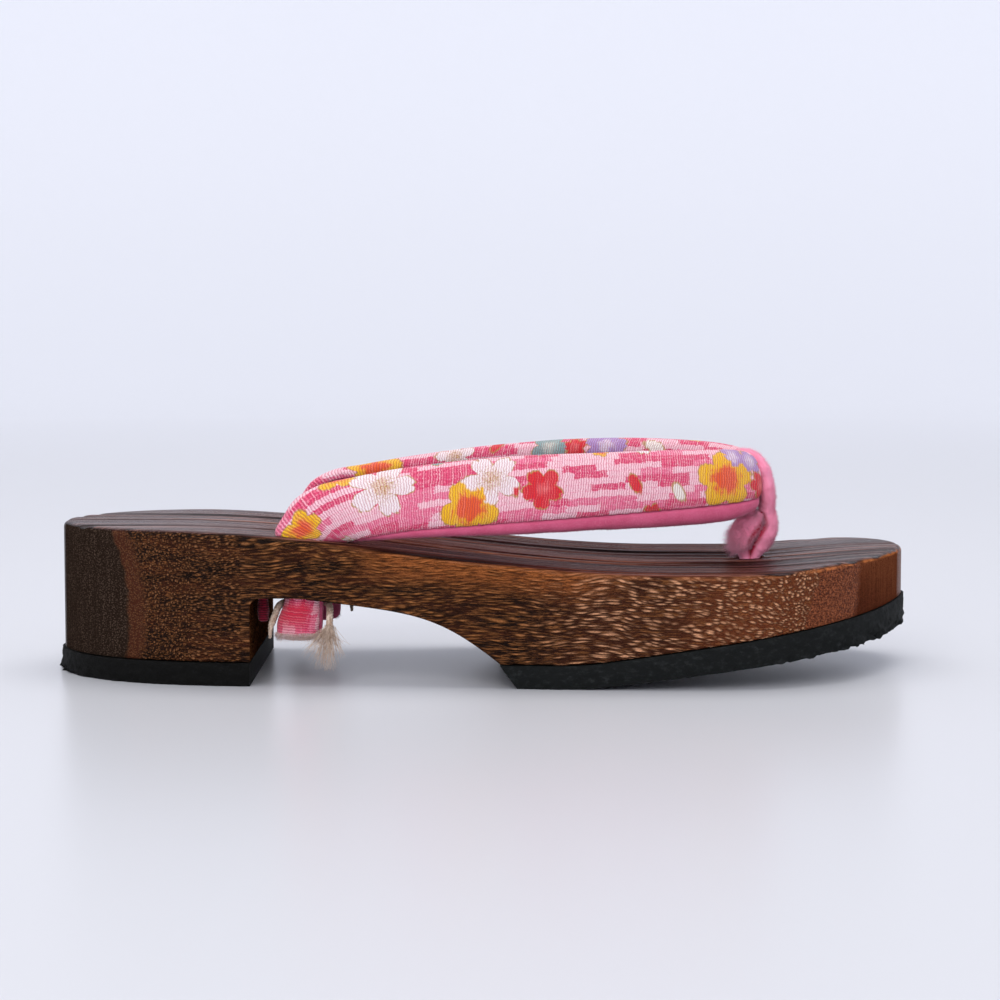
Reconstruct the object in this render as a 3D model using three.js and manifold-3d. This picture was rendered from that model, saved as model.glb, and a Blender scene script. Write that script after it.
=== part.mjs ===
// A wooden geta sandal for the right foot, in millimetres.
// +X points to the toe, +Y to the big-toe side and +Z up. The origin is on the floor under the middle.
// A carved platform stands on two rubber pads. A padded V strap passes down two rear holes,
// and a velour toe thong is looped round the front of the V and knotted under the toe hole.
import * as THREE from 'three';
import { mergeVertices } from 'three/addons/utils/BufferGeometryUtils.js';
import Module from 'manifold-3d';

const wasm = await Module();
wasm.setup();

// Driving dimensions of the wooden platform
const length = 240;
const ballWidth = 89;
const heelHeight = 42.2; // top of the platform above the floor, at the heel
const ballHeight = 31;
const toeRise = 3; // how far the top lifts again from the ball to the toe
const edgeRadius = 1.8; // eased top edge
const heelBlockLength = 56;
const archHeight = 24; // underside of the waist above the floor
const archCornerRadius = 3;
const archLength = 68; // heel block to the rear corner of the forefoot block
const groundFlatLength = 22.4; // forefoot block's rear corner to where the toe spring starts
const toeSpringSlope = 0.147;

// Rubber pads
const padThickness = 6.6;
const padToeThickness = 8.4;
const padOverhang = 0.8;
const padRake = 4.6; // how far the forefoot pad's rear end leans forward
const padCorner = 2;
const glueGap = 0.3;

// Holes for the strap and the thong
const rearHoleDiameter = 11;
const rearHoleSetback = 14.5; // from the heel block's front face to the holes' middle
const lateralHoleWall = 1.64; // wood left between a rear hole and the platform's side
const medialHoleWall = 3.13;
const toeHoleDiameter = 8.4;
const toeHoleFromTip = 44.7;
const thongLineY = 3; // the toe hole and the strap's point lie a little to the big-toe side
const knotRecessDiameter = 19;
const knotRecessDepth = 8.5;

// Strap and thong
const clearance = 0.3;
const strapWidth = 20;
const strapThickness = 9.6;
const clothWall = 1.2;
const pointSetback = 0.6; // the strap's point behind the toe hole's middle
const medialRise = 1.6; // how much higher the big-toe arm swells toward the point
const lateralStubLength = 12.2; // the strap's ends that hang below the rear holes
const medialStubLength = 14.6;
const stubWidth = 12.9;
const lateralStubLean = 1.5; // how far the hanging end leans to the heel
const medialStubLean = 0;
const bandThickness = 3.9;
const bandBreadth = 12;
const cordDiameter = 1.9;
const cordHang = 9.6; // how far the cord's plain end hangs
const frayLength = 10;
const fraySpread = 4.8;
const lockDiameter = 1.8;

// Plan outline, heel back first and then round by the little-toe side.
// along is a share of the length from the middle, across a share of the ball width.
const outlineTable = table('along across', [
  [-0.5, 0.01],
  [-0.48, -0.155],
  [-0.435, -0.285],
  [-0.35, -0.385],
  [-0.2, -0.43],
  [0.02, -0.468],
  [0.2, -0.5],
  [0.31, -0.477],
  [0.39, -0.37],
  [0.45, -0.2],
  [0.49, 0.02],
  [0.5, 0.15],
  [0.487, 0.3],
  [0.44, 0.43],
  [0.34, 0.488],
  [0.15, 0.494],
  [-0.1, 0.462],
  [-0.3, 0.42],
  [-0.42, 0.345],
  [-0.48, 0.19],
]);

// One arm of the strap above its hole. lowAlong and highAlong place the lower and upper edge between
// hole and point, lowUp and highUp above the hole's mouth in strap widths. spread is the share of the
// hole's distance from the thong line, lean the inward lean of the upper edge in strap widths, thick the
// share of the strap's thickness. The cloth runs from topSeam over the outer face to lowSeam, in degrees.
const armTable = table('lowAlong lowUp highAlong highUp spread lean thick topSeam lowSeam', [
  [0.036, -0.03, -0.05, 0.0, 1, 0, 0.96, -35, 172],
  [0.072, -0.05, -0.064, 0.07, 1.01, 0.01, 0.9, -35, 174],
  [0.09, -0.07, -0.047, 0.28, 1.02, 0.03, 0.93, -35, 175],
  [0.105, -0.07, -0.018, 0.53, 1.03, 0.06, 0.97, -36, 174],
  [0.125, -0.05, 0.034, 0.71, 1.04, 0.09, 1, -38, 172],
  [0.165, -0.02, 0.105, 0.81, 1.05, 0.12, 1, -42, 165],
  [0.238, 0.03, 0.218, 0.94, 1.03, 0.14, 1, -48, 154],
  [0.44, 0.08, 0.438, 1.09, 0.93, 0.15, 1, -54, 140],
  [0.658, 0.125, 0.658, 1.14, 0.74, 0.15, 1, -58, 134],
  [0.844, 0.125, 0.844, 1.14, 0.51, 0.14, 0.98, -60, 126],
  [0.952, 0.14, 0.948, 1.12, 0.34, 0.11, 0.95, -60, 123],
  [0.998, 0.22, 0.988, 1.07, 0.19, 0.05, 0.88, -60, 123],
]);
// The strap's point, squeezed by the thong
const pointRow = { lowUp: 0.33, highUp: 0.89, backLean: 1, thick: 0.62, topSeam: -60, lowSeam: 123 };

// Rows of numbers under named columns
function table(columns, rows) {
  const names = columns.split(' ');
  return rows.map((row) => Object.fromEntries(names.map((name, i) => [name, row[i]])));
}

const outlinePoints = outlineTable.map((row) =>
  new THREE.Vector3(row.along * length, row.across * ballWidth, 0));
const outlineCurve = new THREE.CatmullRomCurve3(outlinePoints, true, 'centripetal');
const outlineCount = 92;

// Distance of the platform's side from the middle line at x, with side -1 for the little-toe side
function sideAt(x, side) {
  const points = outlineCurve.getSpacedPoints(4 * outlineCount).filter((point) => point.y * side > 0);
  const [a, b] = points.sort((p, q) => Math.abs(p.x - x) - Math.abs(q.x - x));
  return side * THREE.MathUtils.mapLinear(x, a.x, b.x, a.y, b.y);
}

// Places that follow from the sizes
const heelFront = -length / 2 + heelBlockLength;
const foreRear = heelFront + archLength;
const toeHoleX = length / 2 - toeHoleFromTip;
const rearHoleX = heelFront + rearHoleSetback;
const lateralHoleY = lateralHoleWall + rearHoleDiameter / 2 - sideAt(rearHoleX, -1);
const medialHoleY = sideAt(rearHoleX, 1) - medialHoleWall - rearHoleDiameter / 2;
const pointX = toeHoleX - pointSetback;
const springFrom = foreRear + groundFlatLength;

function topHeight(x) {
  const slope = THREE.MathUtils.smoothstep(x, -0.367 * length, 0.217 * length);
  const toe = THREE.MathUtils.smoothstep(x, 0.283 * length, 0.492 * length);
  return ballHeight + (heelHeight - ballHeight) * (1 - slope) + toeRise * toe;
}

// Meshes and solids
function meshGeometry(points, triangles) {
  const positions = new Float32Array(points.flatMap((p) => [p.x, p.y, p.z]));
  const geometry = new THREE.BufferGeometry();
  geometry.setAttribute('position', new THREE.BufferAttribute(positions, 3));
  geometry.setIndex(triangles.flat());
  return geometry;
}

function solidOf(geometry) {
  const bare = geometry.clone();
  bare.deleteAttribute('normal');
  bare.deleteAttribute('uv');
  const merged = mergeVertices(bare, 1e-4);
  return new wasm.Manifold(new wasm.Mesh({
    numProp: 3,
    vertProperties: merged.attributes.position.array,
    triVerts: new Uint32Array(merged.index.array),
  }));
}

function geometryOf(solid) {
  const mesh = solid.getMesh();
  const geometry = new THREE.BufferGeometry();
  geometry.setAttribute('position', new THREE.BufferAttribute(new Float32Array(mesh.vertProperties), 3));
  geometry.setIndex(new THREE.BufferAttribute(new Uint32Array(mesh.triVerts), 1));
  geometry.computeVertexNormals();
  return geometry;
}

// Closed skin over rings of equal count. Each ring runs counterclockwise seen from the last ring's side,
// and cap holds the triangles that close the last ring.
function skin(rings, cap) {
  const count = rings[0].length;
  const triangles = [];
  for (let k = 0; k + 1 < rings.length; k++) {
    for (let j = 0; j < count; j++) {
      const next = (j + 1) % count;
      const [a, b] = [k * count + j, k * count + next];
      const [c, d] = [b + count, a + count];
      triangles.push([a, b, c], [a, c, d]);
    }
  }
  const last = (rings.length - 1) * count;
  for (const [a, b, c] of cap) {
    triangles.push([c, b, a], [a + last, b + last, c + last]);
  }
  return meshGeometry(rings.flat(), triangles);
}

// A section's flat points carried by frames { at, wide, thick }
function loft(frames, profiles) {
  const rings = frames.map((frame, k) => profiles[k].map(([u, v]) =>
    frame.at.clone().addScaledVector(frame.wide, u).addScaledVector(frame.thick, v)));
  const contour = profiles[0].map(([u, v]) => new THREE.Vector2(u, v));
  return solidOf(skin(rings, THREE.ShapeUtils.triangulateShape(contour, [])));
}

function crossExtrusion(shape) {
  const reach = ballWidth;
  const settings = { depth: 2 * reach, bevelEnabled: false, curveSegments: 12 };
  const geometry = new THREE.ExtrudeGeometry(shape, settings);
  geometry.rotateX(Math.PI / 2);
  geometry.translate(0, reach, 0);
  return solidOf(geometry);
}

function bore(diameter, x, y, from, to) {
  const geometry = new THREE.CylinderGeometry(diameter / 2, diameter / 2, to - from, 28);
  geometry.rotateX(Math.PI / 2);
  geometry.translate(x, y, (from + to) / 2);
  return solidOf(geometry);
}

// Plan block: the outline's rings, eased at the top edge, and a ladder of strips across each end
function outlineRing(offset, heightAt) {
  const points = outlineCurve.getSpacedPoints(outlineCount).slice(0, outlineCount);
  return points.map((point, i) => {
    const along = outlineCurve.getTangentAt(i / outlineCount);
    const x = point.x + along.y * offset;
    return new THREE.Vector3(x, point.y - along.x * offset, heightAt(x));
  });
}

function ladderCap() {
  const triangles = [];
  const opposite = (i) => (outlineCount - i) % outlineCount;
  for (let i = 0; i < outlineCount / 2; i++) {
    if (i + 1 < outlineCount / 2) triangles.push([i, i + 1, opposite(i + 1)]);
    if (i > 0) triangles.push([i, i + 1 === outlineCount / 2 ? i + 1 : opposite(i + 1), opposite(i)]);
  }
  return triangles;
}

function platformBlock() {
  const easing = [0, 0.33, 0.67, 1].map((share) => (share * Math.PI) / 2);
  const rings = [outlineRing(0, () => 0)];
  for (const angle of easing) {
    const inset = edgeRadius * (1 - Math.cos(angle));
    const drop = edgeRadius * (1 - Math.sin(angle));
    rings.push(outlineRing(-inset, (x) => topHeight(x) - drop));
  }
  return solidOf(skin(rings, ladderCap()));
}

// Height of the wood's underside along the forefoot, and of the pad's underside. The bend between the
// flat spot and the spring takes one knee to each side.
const beyond = length / 2 + 10;
const knee = 0.12 * (springFrom - foreRear);
const woodSpring = (x) => padThickness + toeSpringSlope * (x - springFrom);
const padSpring = (x) => {
  const thickening = (padToeThickness - padThickness) / (length / 2 - springFrom);
  return (toeSpringSlope - thickening) * (x - springFrom);
};

function woodUnderside() {
  const shape = new THREE.Shape();
  const archStart = heelFront + 0.2 * archLength;
  shape.moveTo(-beyond, padThickness);
  shape.lineTo(heelFront, padThickness);
  const corner = archHeight - archCornerRadius;
  shape.lineTo(heelFront, corner);
  shape.absarc(heelFront + archCornerRadius, corner, archCornerRadius, Math.PI, Math.PI / 2, true);
  shape.lineTo(archStart, archHeight);
  shape.bezierCurveTo(
    archStart + 0.456 * archLength, archHeight - 0.214 * (archHeight - padThickness),
    foreRear - 0.262 * archLength, padThickness + 0.814 * (archHeight - padThickness),
    foreRear, padThickness);
  shape.lineTo(springFrom - knee, padThickness);
  shape.lineTo(springFrom + knee, woodSpring(springFrom + knee));
  shape.lineTo(beyond, woodSpring(beyond));
  shape.lineTo(beyond, heelHeight + ballHeight);
  shape.lineTo(-beyond, heelHeight + ballHeight);
  return shape;
}

function makePlatform() {
  const recessTop = woodSpring(toeHoleX) + knotRecessDepth;
  return platformBlock()
    .intersect(crossExtrusion(woodUnderside()))
    .subtract(bore(rearHoleDiameter, rearHoleX, lateralHoleY, 0, heelHeight + 10))
    .subtract(bore(rearHoleDiameter, rearHoleX, medialHoleY, 0, heelHeight + 10))
    .subtract(bore(toeHoleDiameter, toeHoleX, thongLineY, 0, heelHeight + 10))
    .subtract(bore(knotRecessDiameter, toeHoleX, thongLineY, 0, recessTop));
}

function padBlock(shape) {
  const rings = [outlineRing(padOverhang, () => -1), outlineRing(padOverhang, () => archHeight)];
  return solidOf(skin(rings, ladderCap())).intersect(crossExtrusion(shape));
}

function makeHeelPad() {
  const shape = new THREE.Shape();
  shape.moveTo(-beyond, 0);
  shape.lineTo(heelFront - padCorner, 0);
  shape.quadraticCurveTo(heelFront, 0, heelFront, padCorner);
  shape.lineTo(heelFront, padThickness - glueGap);
  shape.lineTo(-beyond, padThickness - glueGap);
  return padBlock(shape);
}

function makeForefootPad() {
  const shape = new THREE.Shape();
  shape.moveTo(foreRear + padRake, 0);
  shape.lineTo(springFrom - knee, 0);
  shape.lineTo(springFrom + knee, padSpring(springFrom + knee));
  shape.lineTo(beyond, padSpring(beyond));
  shape.lineTo(beyond, woodSpring(beyond) - glueGap);
  shape.lineTo(springFrom + knee, woodSpring(springFrom + knee) - glueGap);
  shape.lineTo(springFrom - knee, padThickness - glueGap);
  shape.lineTo(foreRear, padThickness - glueGap);
  return padBlock(shape).subtract(bore(knotRecessDiameter, toeHoleX, thongLineY, -1, archHeight));
}

// Strap stations: the row of each section with its lower and upper edge as points
const radians = THREE.MathUtils.degToRad;
const neckDiameter = rearHoleDiameter - 2 * clearance;

function stubStations(holeY, stubLength, lean) {
  const mouth = topHeight(rearHoleX);
  const neckThick = 0.9 * neckDiameter;
  const rows = [
    { up: archHeight - stubLength, back: lean, wide: stubWidth, thick: 0.7 * strapThickness },
    {
      up: archHeight - 0.55 * stubLength,
      back: 0.75 * lean,
      wide: 0.97 * stubWidth,
      thick: 0.88 * strapThickness,
    },
    { up: archHeight - 0.15 * stubLength, back: 0.1 * lean, wide: 0.84 * stubWidth, thick: neckThick },
    { up: archHeight + 1.5, back: 0, wide: neckDiameter, thick: neckThick },
    { up: mouth - 3, back: 0, wide: neckDiameter, thick: neckThick },
  ];
  return rows.map((row) => ({
    low: new THREE.Vector3(rearHoleX - row.back + row.wide / 2, holeY, row.up),
    high: new THREE.Vector3(rearHoleX - row.back - row.wide / 2, holeY, row.up),
    shape: new THREE.Vector3(row.thick, -35, 160),
  }));
}

function armStations(holeY, extraRise) {
  const reach = pointX - rearHoleX;
  const mouth = topHeight(rearHoleX);
  const aside = holeY - thongLineY;
  return armTable.map((row) => {
    const y = thongLineY + row.spread * aside;
    const inward = -Math.sign(aside) * row.lean * strapWidth;
    const swell = 4 * Math.max(0, Math.sin(Math.PI * row.highAlong)) * (row.highAlong - 0.4);
    const rise = extraRise * swell;
    const edge = (along, across, up) =>
      new THREE.Vector3(rearHoleX + along * reach, y + across, mouth + rise + up * strapWidth);
    return {
      low: edge(row.lowAlong, -inward, row.lowUp),
      high: edge(row.highAlong, inward, row.highUp),
      shape: new THREE.Vector3(row.thick * strapThickness, row.topSeam, row.lowSeam),
    };
  });
}

function pointStation() {
  const mouth = topHeight(rearHoleX);
  return {
    low: new THREE.Vector3(pointX + pointRow.backLean, thongLineY, mouth + pointRow.lowUp * strapWidth),
    high: new THREE.Vector3(pointX - pointRow.backLean, thongLineY, mouth + pointRow.highUp * strapWidth),
    shape: new THREE.Vector3(pointRow.thick * strapThickness, pointRow.topSeam, pointRow.lowSeam),
  };
}

// Sections of the whole strap, from the little-toe stub round the point to the big-toe stub
function strapSections() {
  const stations = [
    ...stubStations(lateralHoleY, lateralStubLength, lateralStubLean),
    ...armStations(lateralHoleY, 0),
    pointStation(),
    ...armStations(medialHoleY, medialRise).reverse(),
    ...stubStations(medialHoleY, medialStubLength, medialStubLean).reverse(),
  ];
  const through = (key) => {
    const points = stations.map((station) => station[key]);
    return new THREE.CatmullRomCurve3(points, false, 'centripetal');
  };
  const [low, high, shape] = [through('low'), through('high'), through('shape')];
  const segments = stations.length - 1;
  const stepLength = 5;
  const sections = [];
  for (let k = 0; k < segments; k++) {
    const span = Math.max(
      stations[k].low.distanceTo(stations[k + 1].low),
      stations[k].high.distanceTo(stations[k + 1].high));
    const steps = Math.max(1, Math.round(span / stepLength));
    for (let s = 0; s < steps + (k === segments - 1 ? 1 : 0); s++) {
      const t = (k + s / steps) / segments;
      sections.push({ low: low.getPoint(t), high: high.getPoint(t), shape: shape.getPoint(t) });
    }
  }
  return sections;
}

function framesOf(sections) {
  const middles = sections.map(({ low, high }) => low.clone().lerp(high, 0.5));
  return sections.map(({ low, high }, k) => {
    const before = middles[Math.max(k - 1, 0)];
    const after = middles[Math.min(k + 1, sections.length - 1)];
    const wide = high.clone().sub(low).normalize();
    const thick = after.clone().sub(before).cross(wide).normalize();
    return { at: middles[k], wide, thick };
  });
}

// Point of a padded section at a given angle: 0 at the upper edge, 90 on the outer face
const roundness = 2.3;
function paddedPoint(halfWide, halfThick, angle) {
  const [c, s] = [Math.cos(angle), Math.sin(angle)];
  const power = 2 / roundness;
  return [
    halfWide * Math.sign(c) * Math.abs(c) ** power,
    halfThick * Math.sign(s) * Math.abs(s) ** power,
  ];
}

const paddedRing = (halfWide, halfThick, count) => Array.from({ length: count }, (_, i) =>
  paddedPoint(halfWide, halfThick, (i / count) * 2 * Math.PI));

function arc(section, inset, from, to, count) {
  const halfWide = section.low.distanceTo(section.high) / 2 - inset;
  const halfThick = section.shape.x / 2 - inset;
  return Array.from({ length: count }, (_, i) =>
    paddedPoint(halfWide, halfThick, from + ((to - from) * i) / (count - 1)));
}

function coverProfile(section) {
  const [from, to] = [radians(section.shape.y), radians(section.shape.z)];
  return [...arc(section, 0, from, to, 11), ...arc(section, clothWall, to, from, 8)];
}

function liningProfile(section) {
  const seamGap = radians(4.5);
  const [from, to] = [radians(section.shape.y) - seamGap, radians(section.shape.z) + seamGap];
  return [
    ...arc(section, clothWall + clearance, from, to, 8),
    ...arc(section, 0, to, from + 2 * Math.PI, 8),
  ];
}

const envelopeProfile = (section) => arc(section, -clearance, 0, 1.9 * Math.PI, 20);

// Toe thong: one band up in front of the strap's point, over it and down behind, and a rear strand
function thongSections(rows) {
  const curve = (points) => new THREE.CatmullRomCurve3(points, false, 'centripetal');
  const path = curve(rows.map((row) => new THREE.Vector3(row.x, 0, row.z)));
  const size = curve(rows.map((row) => new THREE.Vector3(row.thick, row.broad, 0)));
  const steps = 3 * (rows.length - 1);
  const frames = [];
  const profiles = [];
  for (let k = 0; k <= steps; k++) {
    const at = path.getPoint(k / steps);
    const along = path.getTangent(k / steps);
    const { x: thick, y: broad } = size.getPoint(k / steps);
    frames.push({
      at: new THREE.Vector3(at.x, thongLineY, at.z),
      wide: new THREE.Vector3(0, 1, 0),
      thick: along.clone().cross(new THREE.Vector3(0, 1, 0)).normalize(),
    });
    profiles.push(paddedRing(broad / 2, thick / 2, 12));
  }
  return loft(frames, profiles);
}

function makeThong() {
  const mouth = topHeight(rearHoleX);
  const seat = topHeight(toeHoleX);
  const recessTop = woodSpring(toeHoleX) + knotRecessDepth;
  const halfPoint = (pointRow.thick * strapThickness) / 2;
  const offset = clearance + bandThickness / 2;
  const pointLow = mouth + pointRow.lowUp * strapWidth;
  const pointHigh = mouth + pointRow.highUp * strapWidth;
  const front = pointX + halfPoint + offset;
  const back = pointX - halfPoint - offset;
  const [over, under] = [pointHigh + offset, pointLow - offset];
  const rise = (share) => seat + share * (under - seat);
  const thin = 0.87 * bandThickness;
  const bottom = recessTop - 4;
  const squeezed = { thick: 0.38 * toeHoleDiameter, broad: 0.76 * toeHoleDiameter };
  const apart = 0.19 * toeHoleDiameter; // how far each strand stands off the hole's middle
  const frontAndWrap = thongSections([
    { x: toeHoleX + apart, z: bottom, ...squeezed },
    { x: toeHoleX + apart, z: seat - 0.6, ...squeezed },
    { x: toeHoleX + apart + 1, z: rise(0.17), thick: 4, broad: 7.6 },
    { x: toeHoleX + apart + 2.5, z: rise(0.38), thick: 4.4, broad: 9.2 },
    { x: front + 1.2, z: rise(0.68), thick: thin, broad: 9.6 },
    { x: front + 1.3, z: rise(0.88), thick: thin, broad: 9 },
    { x: front + 0.1, z: under + 1, thick: thin, broad: 8.6 },
    { x: front, z: pointLow + 2.6, thick: bandThickness, broad: 0.86 * bandBreadth },
    { x: front - 0.3, z: (pointLow + pointHigh) / 2, thick: bandThickness, broad: bandBreadth },
    { x: front - 1.9, z: pointHigh - 0.6, thick: bandThickness, broad: bandBreadth },
    { x: pointX - 0.8, z: over, thick: bandThickness, broad: 0.8 * bandBreadth },
    { x: back + 0.3, z: pointHigh - 1.8, thick: 0.9 * bandThickness, broad: 0.56 * bandBreadth },
    { x: back + 0.8, z: pointLow + 2, thick: 0.9 * bandThickness, broad: 0.56 * bandBreadth },
    { x: pointX - 1.4, z: under, thick: 0.9 * bandThickness, broad: 0.66 * bandBreadth },
    { x: toeHoleX + 1.4, z: under - 1.6, thick: 0.9 * bandThickness, broad: 0.7 * bandBreadth },
  ]);
  const rearStrand = thongSections([
    { x: toeHoleX - apart, z: bottom, ...squeezed },
    { x: toeHoleX - apart, z: seat - 0.6, ...squeezed },
    { x: toeHoleX - apart - 0.2, z: rise(0.18), thick: 4.2, broad: 8 },
    { x: toeHoleX - apart + 0.2, z: rise(0.42), thick: 5.2, broad: 10.4 },
    { x: toeHoleX - apart + 1.1, z: rise(0.68), thick: 5.2, broad: 10.4 },
    { x: toeHoleX - apart + 2.7, z: rise(0.95), thick: 4, broad: 9 },
  ]);
  const knotRadius = 0.34 * knotRecessDiameter;
  const ball = new THREE.SphereGeometry(knotRadius, 16, 10);
  ball.scale(1, 1, 0.72);
  ball.translate(toeHoleX, thongLineY, recessTop - clearance - 0.72 * knotRadius);
  return frontAndWrap.add(rearStrand).add(solidOf(ball));
}

// Hemp cord that hangs out of each rear hole beside the strap, with a frayed end
function cordTube(points, radii) {
  const path = new THREE.CatmullRomCurve3(points, false, 'centripetal');
  const steps = 2 * (points.length - 1);
  const turn = path.computeFrenetFrames(steps, false);
  const frames = [];
  const profiles = [];
  for (let k = 0; k <= steps; k++) {
    const slot = (k / steps) * (radii.length - 1);
    const whole = Math.min(Math.floor(slot), radii.length - 2);
    const radius = THREE.MathUtils.lerp(radii[whole], radii[whole + 1], slot - whole);
    frames.push({ at: path.getPointAt(k / steps), wide: turn.normals[k], thick: turn.binormals[k] });
    profiles.push(paddedRing(radius, radius, 7));
  }
  return loft(frames, profiles);
}

// Frayed locks: where each tip lies from the cord's end, forward and outward as shares of the spread
// and down as a share of the fray's length
const lockTable = table('forward outward down', [
  [0.88, -0.08, 0.32],
  [0.67, 0.17, 0.62],
  [0.29, 0.33, 0.84],
  [-0.17, 0.5, 1],
  [-0.58, 0.58, 0.92],
  [-1, 0.62, 0.74],
  [0.12, 0.71, 0.66],
]);

// From the frayed tail, round the strap's inner side and down on the other side. The tail is on the toe
// side of the strap where toward is 1 and on its heel side where it is -1.
function makeTieCord(holeY, toward) {
  const outward = Math.sign(holeY - thongLineY);
  const half = cordDiameter / 2;
  const beside = 0.42 * stubWidth + clearance + half;
  const inner = 0.5 * strapThickness + clearance + half;
  const up = archHeight - cordDiameter - clearance;
  const point = (along, across, down) =>
    new THREE.Vector3(rearHoleX + toward * along, holeY + outward * across, up - down);
  const end = point(beside + 0.16 * cordDiameter, 0.35 * strapThickness, 0.69 * cordHang);
  const cord = cordTube([
    end,
    point(beside + 0.21 * cordDiameter, 0.21 * strapThickness, 0.35 * cordHang),
    point(beside + 0.05 * cordDiameter, -0.1 * strapThickness, 0.06 * cordHang),
    point(0.62 * beside, -inner, 0),
    point(-0.62 * beside, -inner, 0),
    point(-beside - 0.21 * cordDiameter, -0.21 * strapThickness, 0.08 * cordHang),
    point(-beside - 0.79 * cordDiameter, -0.15 * strapThickness, 0.35 * cordHang),
    point(-beside - 1.37 * cordDiameter, -0.1 * strapThickness, 0.67 * cordHang),
    point(-beside - 1.53 * cordDiameter, -0.12 * strapThickness, cordHang),
  ], [half, half, half, half, half, half, half, 0.75 * half, 0.35 * half]);
  const locks = lockTable.map((row) => {
    const [along, across] = [toward * row.forward * fraySpread, outward * row.outward * fraySpread];
    const tip = end.clone().add(new THREE.Vector3(along, across, -row.down * frayLength));
    const start = end.clone().add(new THREE.Vector3(0, 0, 0.4 * cordDiameter));
    const bend = end.clone().lerp(tip, 0.5).add(new THREE.Vector3(0.12 * along, 0, 0.4 * cordDiameter));
    const thick = lockDiameter / 2;
    return cordTube([start, bend, tip], [thick, 0.9 * thick, 0.33 * thick]);
  });
  return locks.reduce((whole, lock) => whole.add(lock), cord);
}

// Folded tail of the strap's cloth, caught between the hanging end and the heel block
const tailWidth = 3.6;
const tailBreadth = 5;
const tailLength = 7.8;

function makeStrapTail() {
  const top = archHeight - clearance;
  const x = heelFront + clearance + 0.5 + tailWidth / 2;
  const y = lateralHoleY + 8;
  const rows = [
    { down: tailLength, share: 0.55 },
    { down: 0.93 * tailLength, share: 0.85 },
    { down: 0.6 * tailLength, share: 1 },
    { down: 0.25 * tailLength, share: 0.86 },
    { down: 0, share: 0.8 },
  ];
  const frames = rows.map((row) => ({
    at: new THREE.Vector3(x, y, top - row.down),
    wide: new THREE.Vector3(1, 0, 0),
    thick: new THREE.Vector3(0, 1, 0),
  }));
  const profiles = rows.map((row) =>
    paddedRing((row.share * tailWidth) / 2, (row.share * tailBreadth) / 2, 12));
  return loft(frames, profiles);
}

// Assembly
const finishes = {
  wood: { color: 0x4a2e22, roughness: 0.35 },
  rubber: { color: 0x1b1d1e, roughness: 0.8 },
  cloth: { color: 0xe5759a, roughness: 0.85 },
  velour: { color: 0xdc6a9d, roughness: 0.95 },
  crimson: { color: 0xb5304e, roughness: 0.9 },
  hemp: { color: 0xb9a48c, roughness: 0.95 },
};

function part(name, solid, finish) {
  const material = new THREE.MeshStandardMaterial({ ...finishes[finish], metalness: 0 });
  const mesh = new THREE.Mesh(geometryOf(solid), material);
  mesh.name = name;
  return mesh;
}

const platform = makePlatform();
const lifted = platform.translate([0, 0, clearance]);
const lowered = platform.translate([clearance, 0, -clearance]);
const strap = strapSections();
const strapFrames = framesOf(strap);
const cover = loft(strapFrames, strap.map(coverProfile)).subtract(lifted);
const lining = loft(strapFrames, strap.map(liningProfile)).subtract(lifted);
const envelope = loft(strapFrames, strap.map(envelopeProfile));
const thong = makeThong().subtract(envelope).subtract(lifted);

const geta = new THREE.Group();
geta.add(
  part('platform', platform, 'wood'),
  part('heel_pad', makeHeelPad(), 'rubber'),
  part('forefoot_pad', makeForefootPad(), 'rubber'),
  part('strap_cover', cover, 'cloth'),
  part('strap_lining', lining, 'velour'),
  part('toe_thong', thong, 'velour'),
  part('strap_tail', makeStrapTail().subtract(lowered), 'crimson'),
  part('tie_cord_lateral', makeTieCord(lateralHoleY, 1).subtract(envelope), 'hemp'),
  part('tie_cord_medial', makeTieCord(medialHoleY, -1).subtract(envelope), 'hemp'),
);

export default geta;
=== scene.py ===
# Looks of a wooden geta sandal with a padded V strap. The tables are in millimetres.
from math import pi, radians
import bmesh
import bpy
import numpy as np
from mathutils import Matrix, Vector


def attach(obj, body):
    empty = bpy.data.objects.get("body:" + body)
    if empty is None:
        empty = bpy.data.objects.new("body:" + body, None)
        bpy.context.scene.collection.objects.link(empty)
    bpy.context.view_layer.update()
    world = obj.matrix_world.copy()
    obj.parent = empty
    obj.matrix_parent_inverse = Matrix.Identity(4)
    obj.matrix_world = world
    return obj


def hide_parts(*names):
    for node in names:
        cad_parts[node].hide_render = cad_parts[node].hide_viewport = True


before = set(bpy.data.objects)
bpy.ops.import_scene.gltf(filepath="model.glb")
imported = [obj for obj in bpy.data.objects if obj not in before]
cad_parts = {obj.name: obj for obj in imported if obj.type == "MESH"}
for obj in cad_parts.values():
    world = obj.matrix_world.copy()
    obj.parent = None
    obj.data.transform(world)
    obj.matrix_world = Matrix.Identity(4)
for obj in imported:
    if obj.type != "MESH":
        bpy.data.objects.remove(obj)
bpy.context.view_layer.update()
millimetre = 0.001


# Shapes as whole arrays

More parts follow.
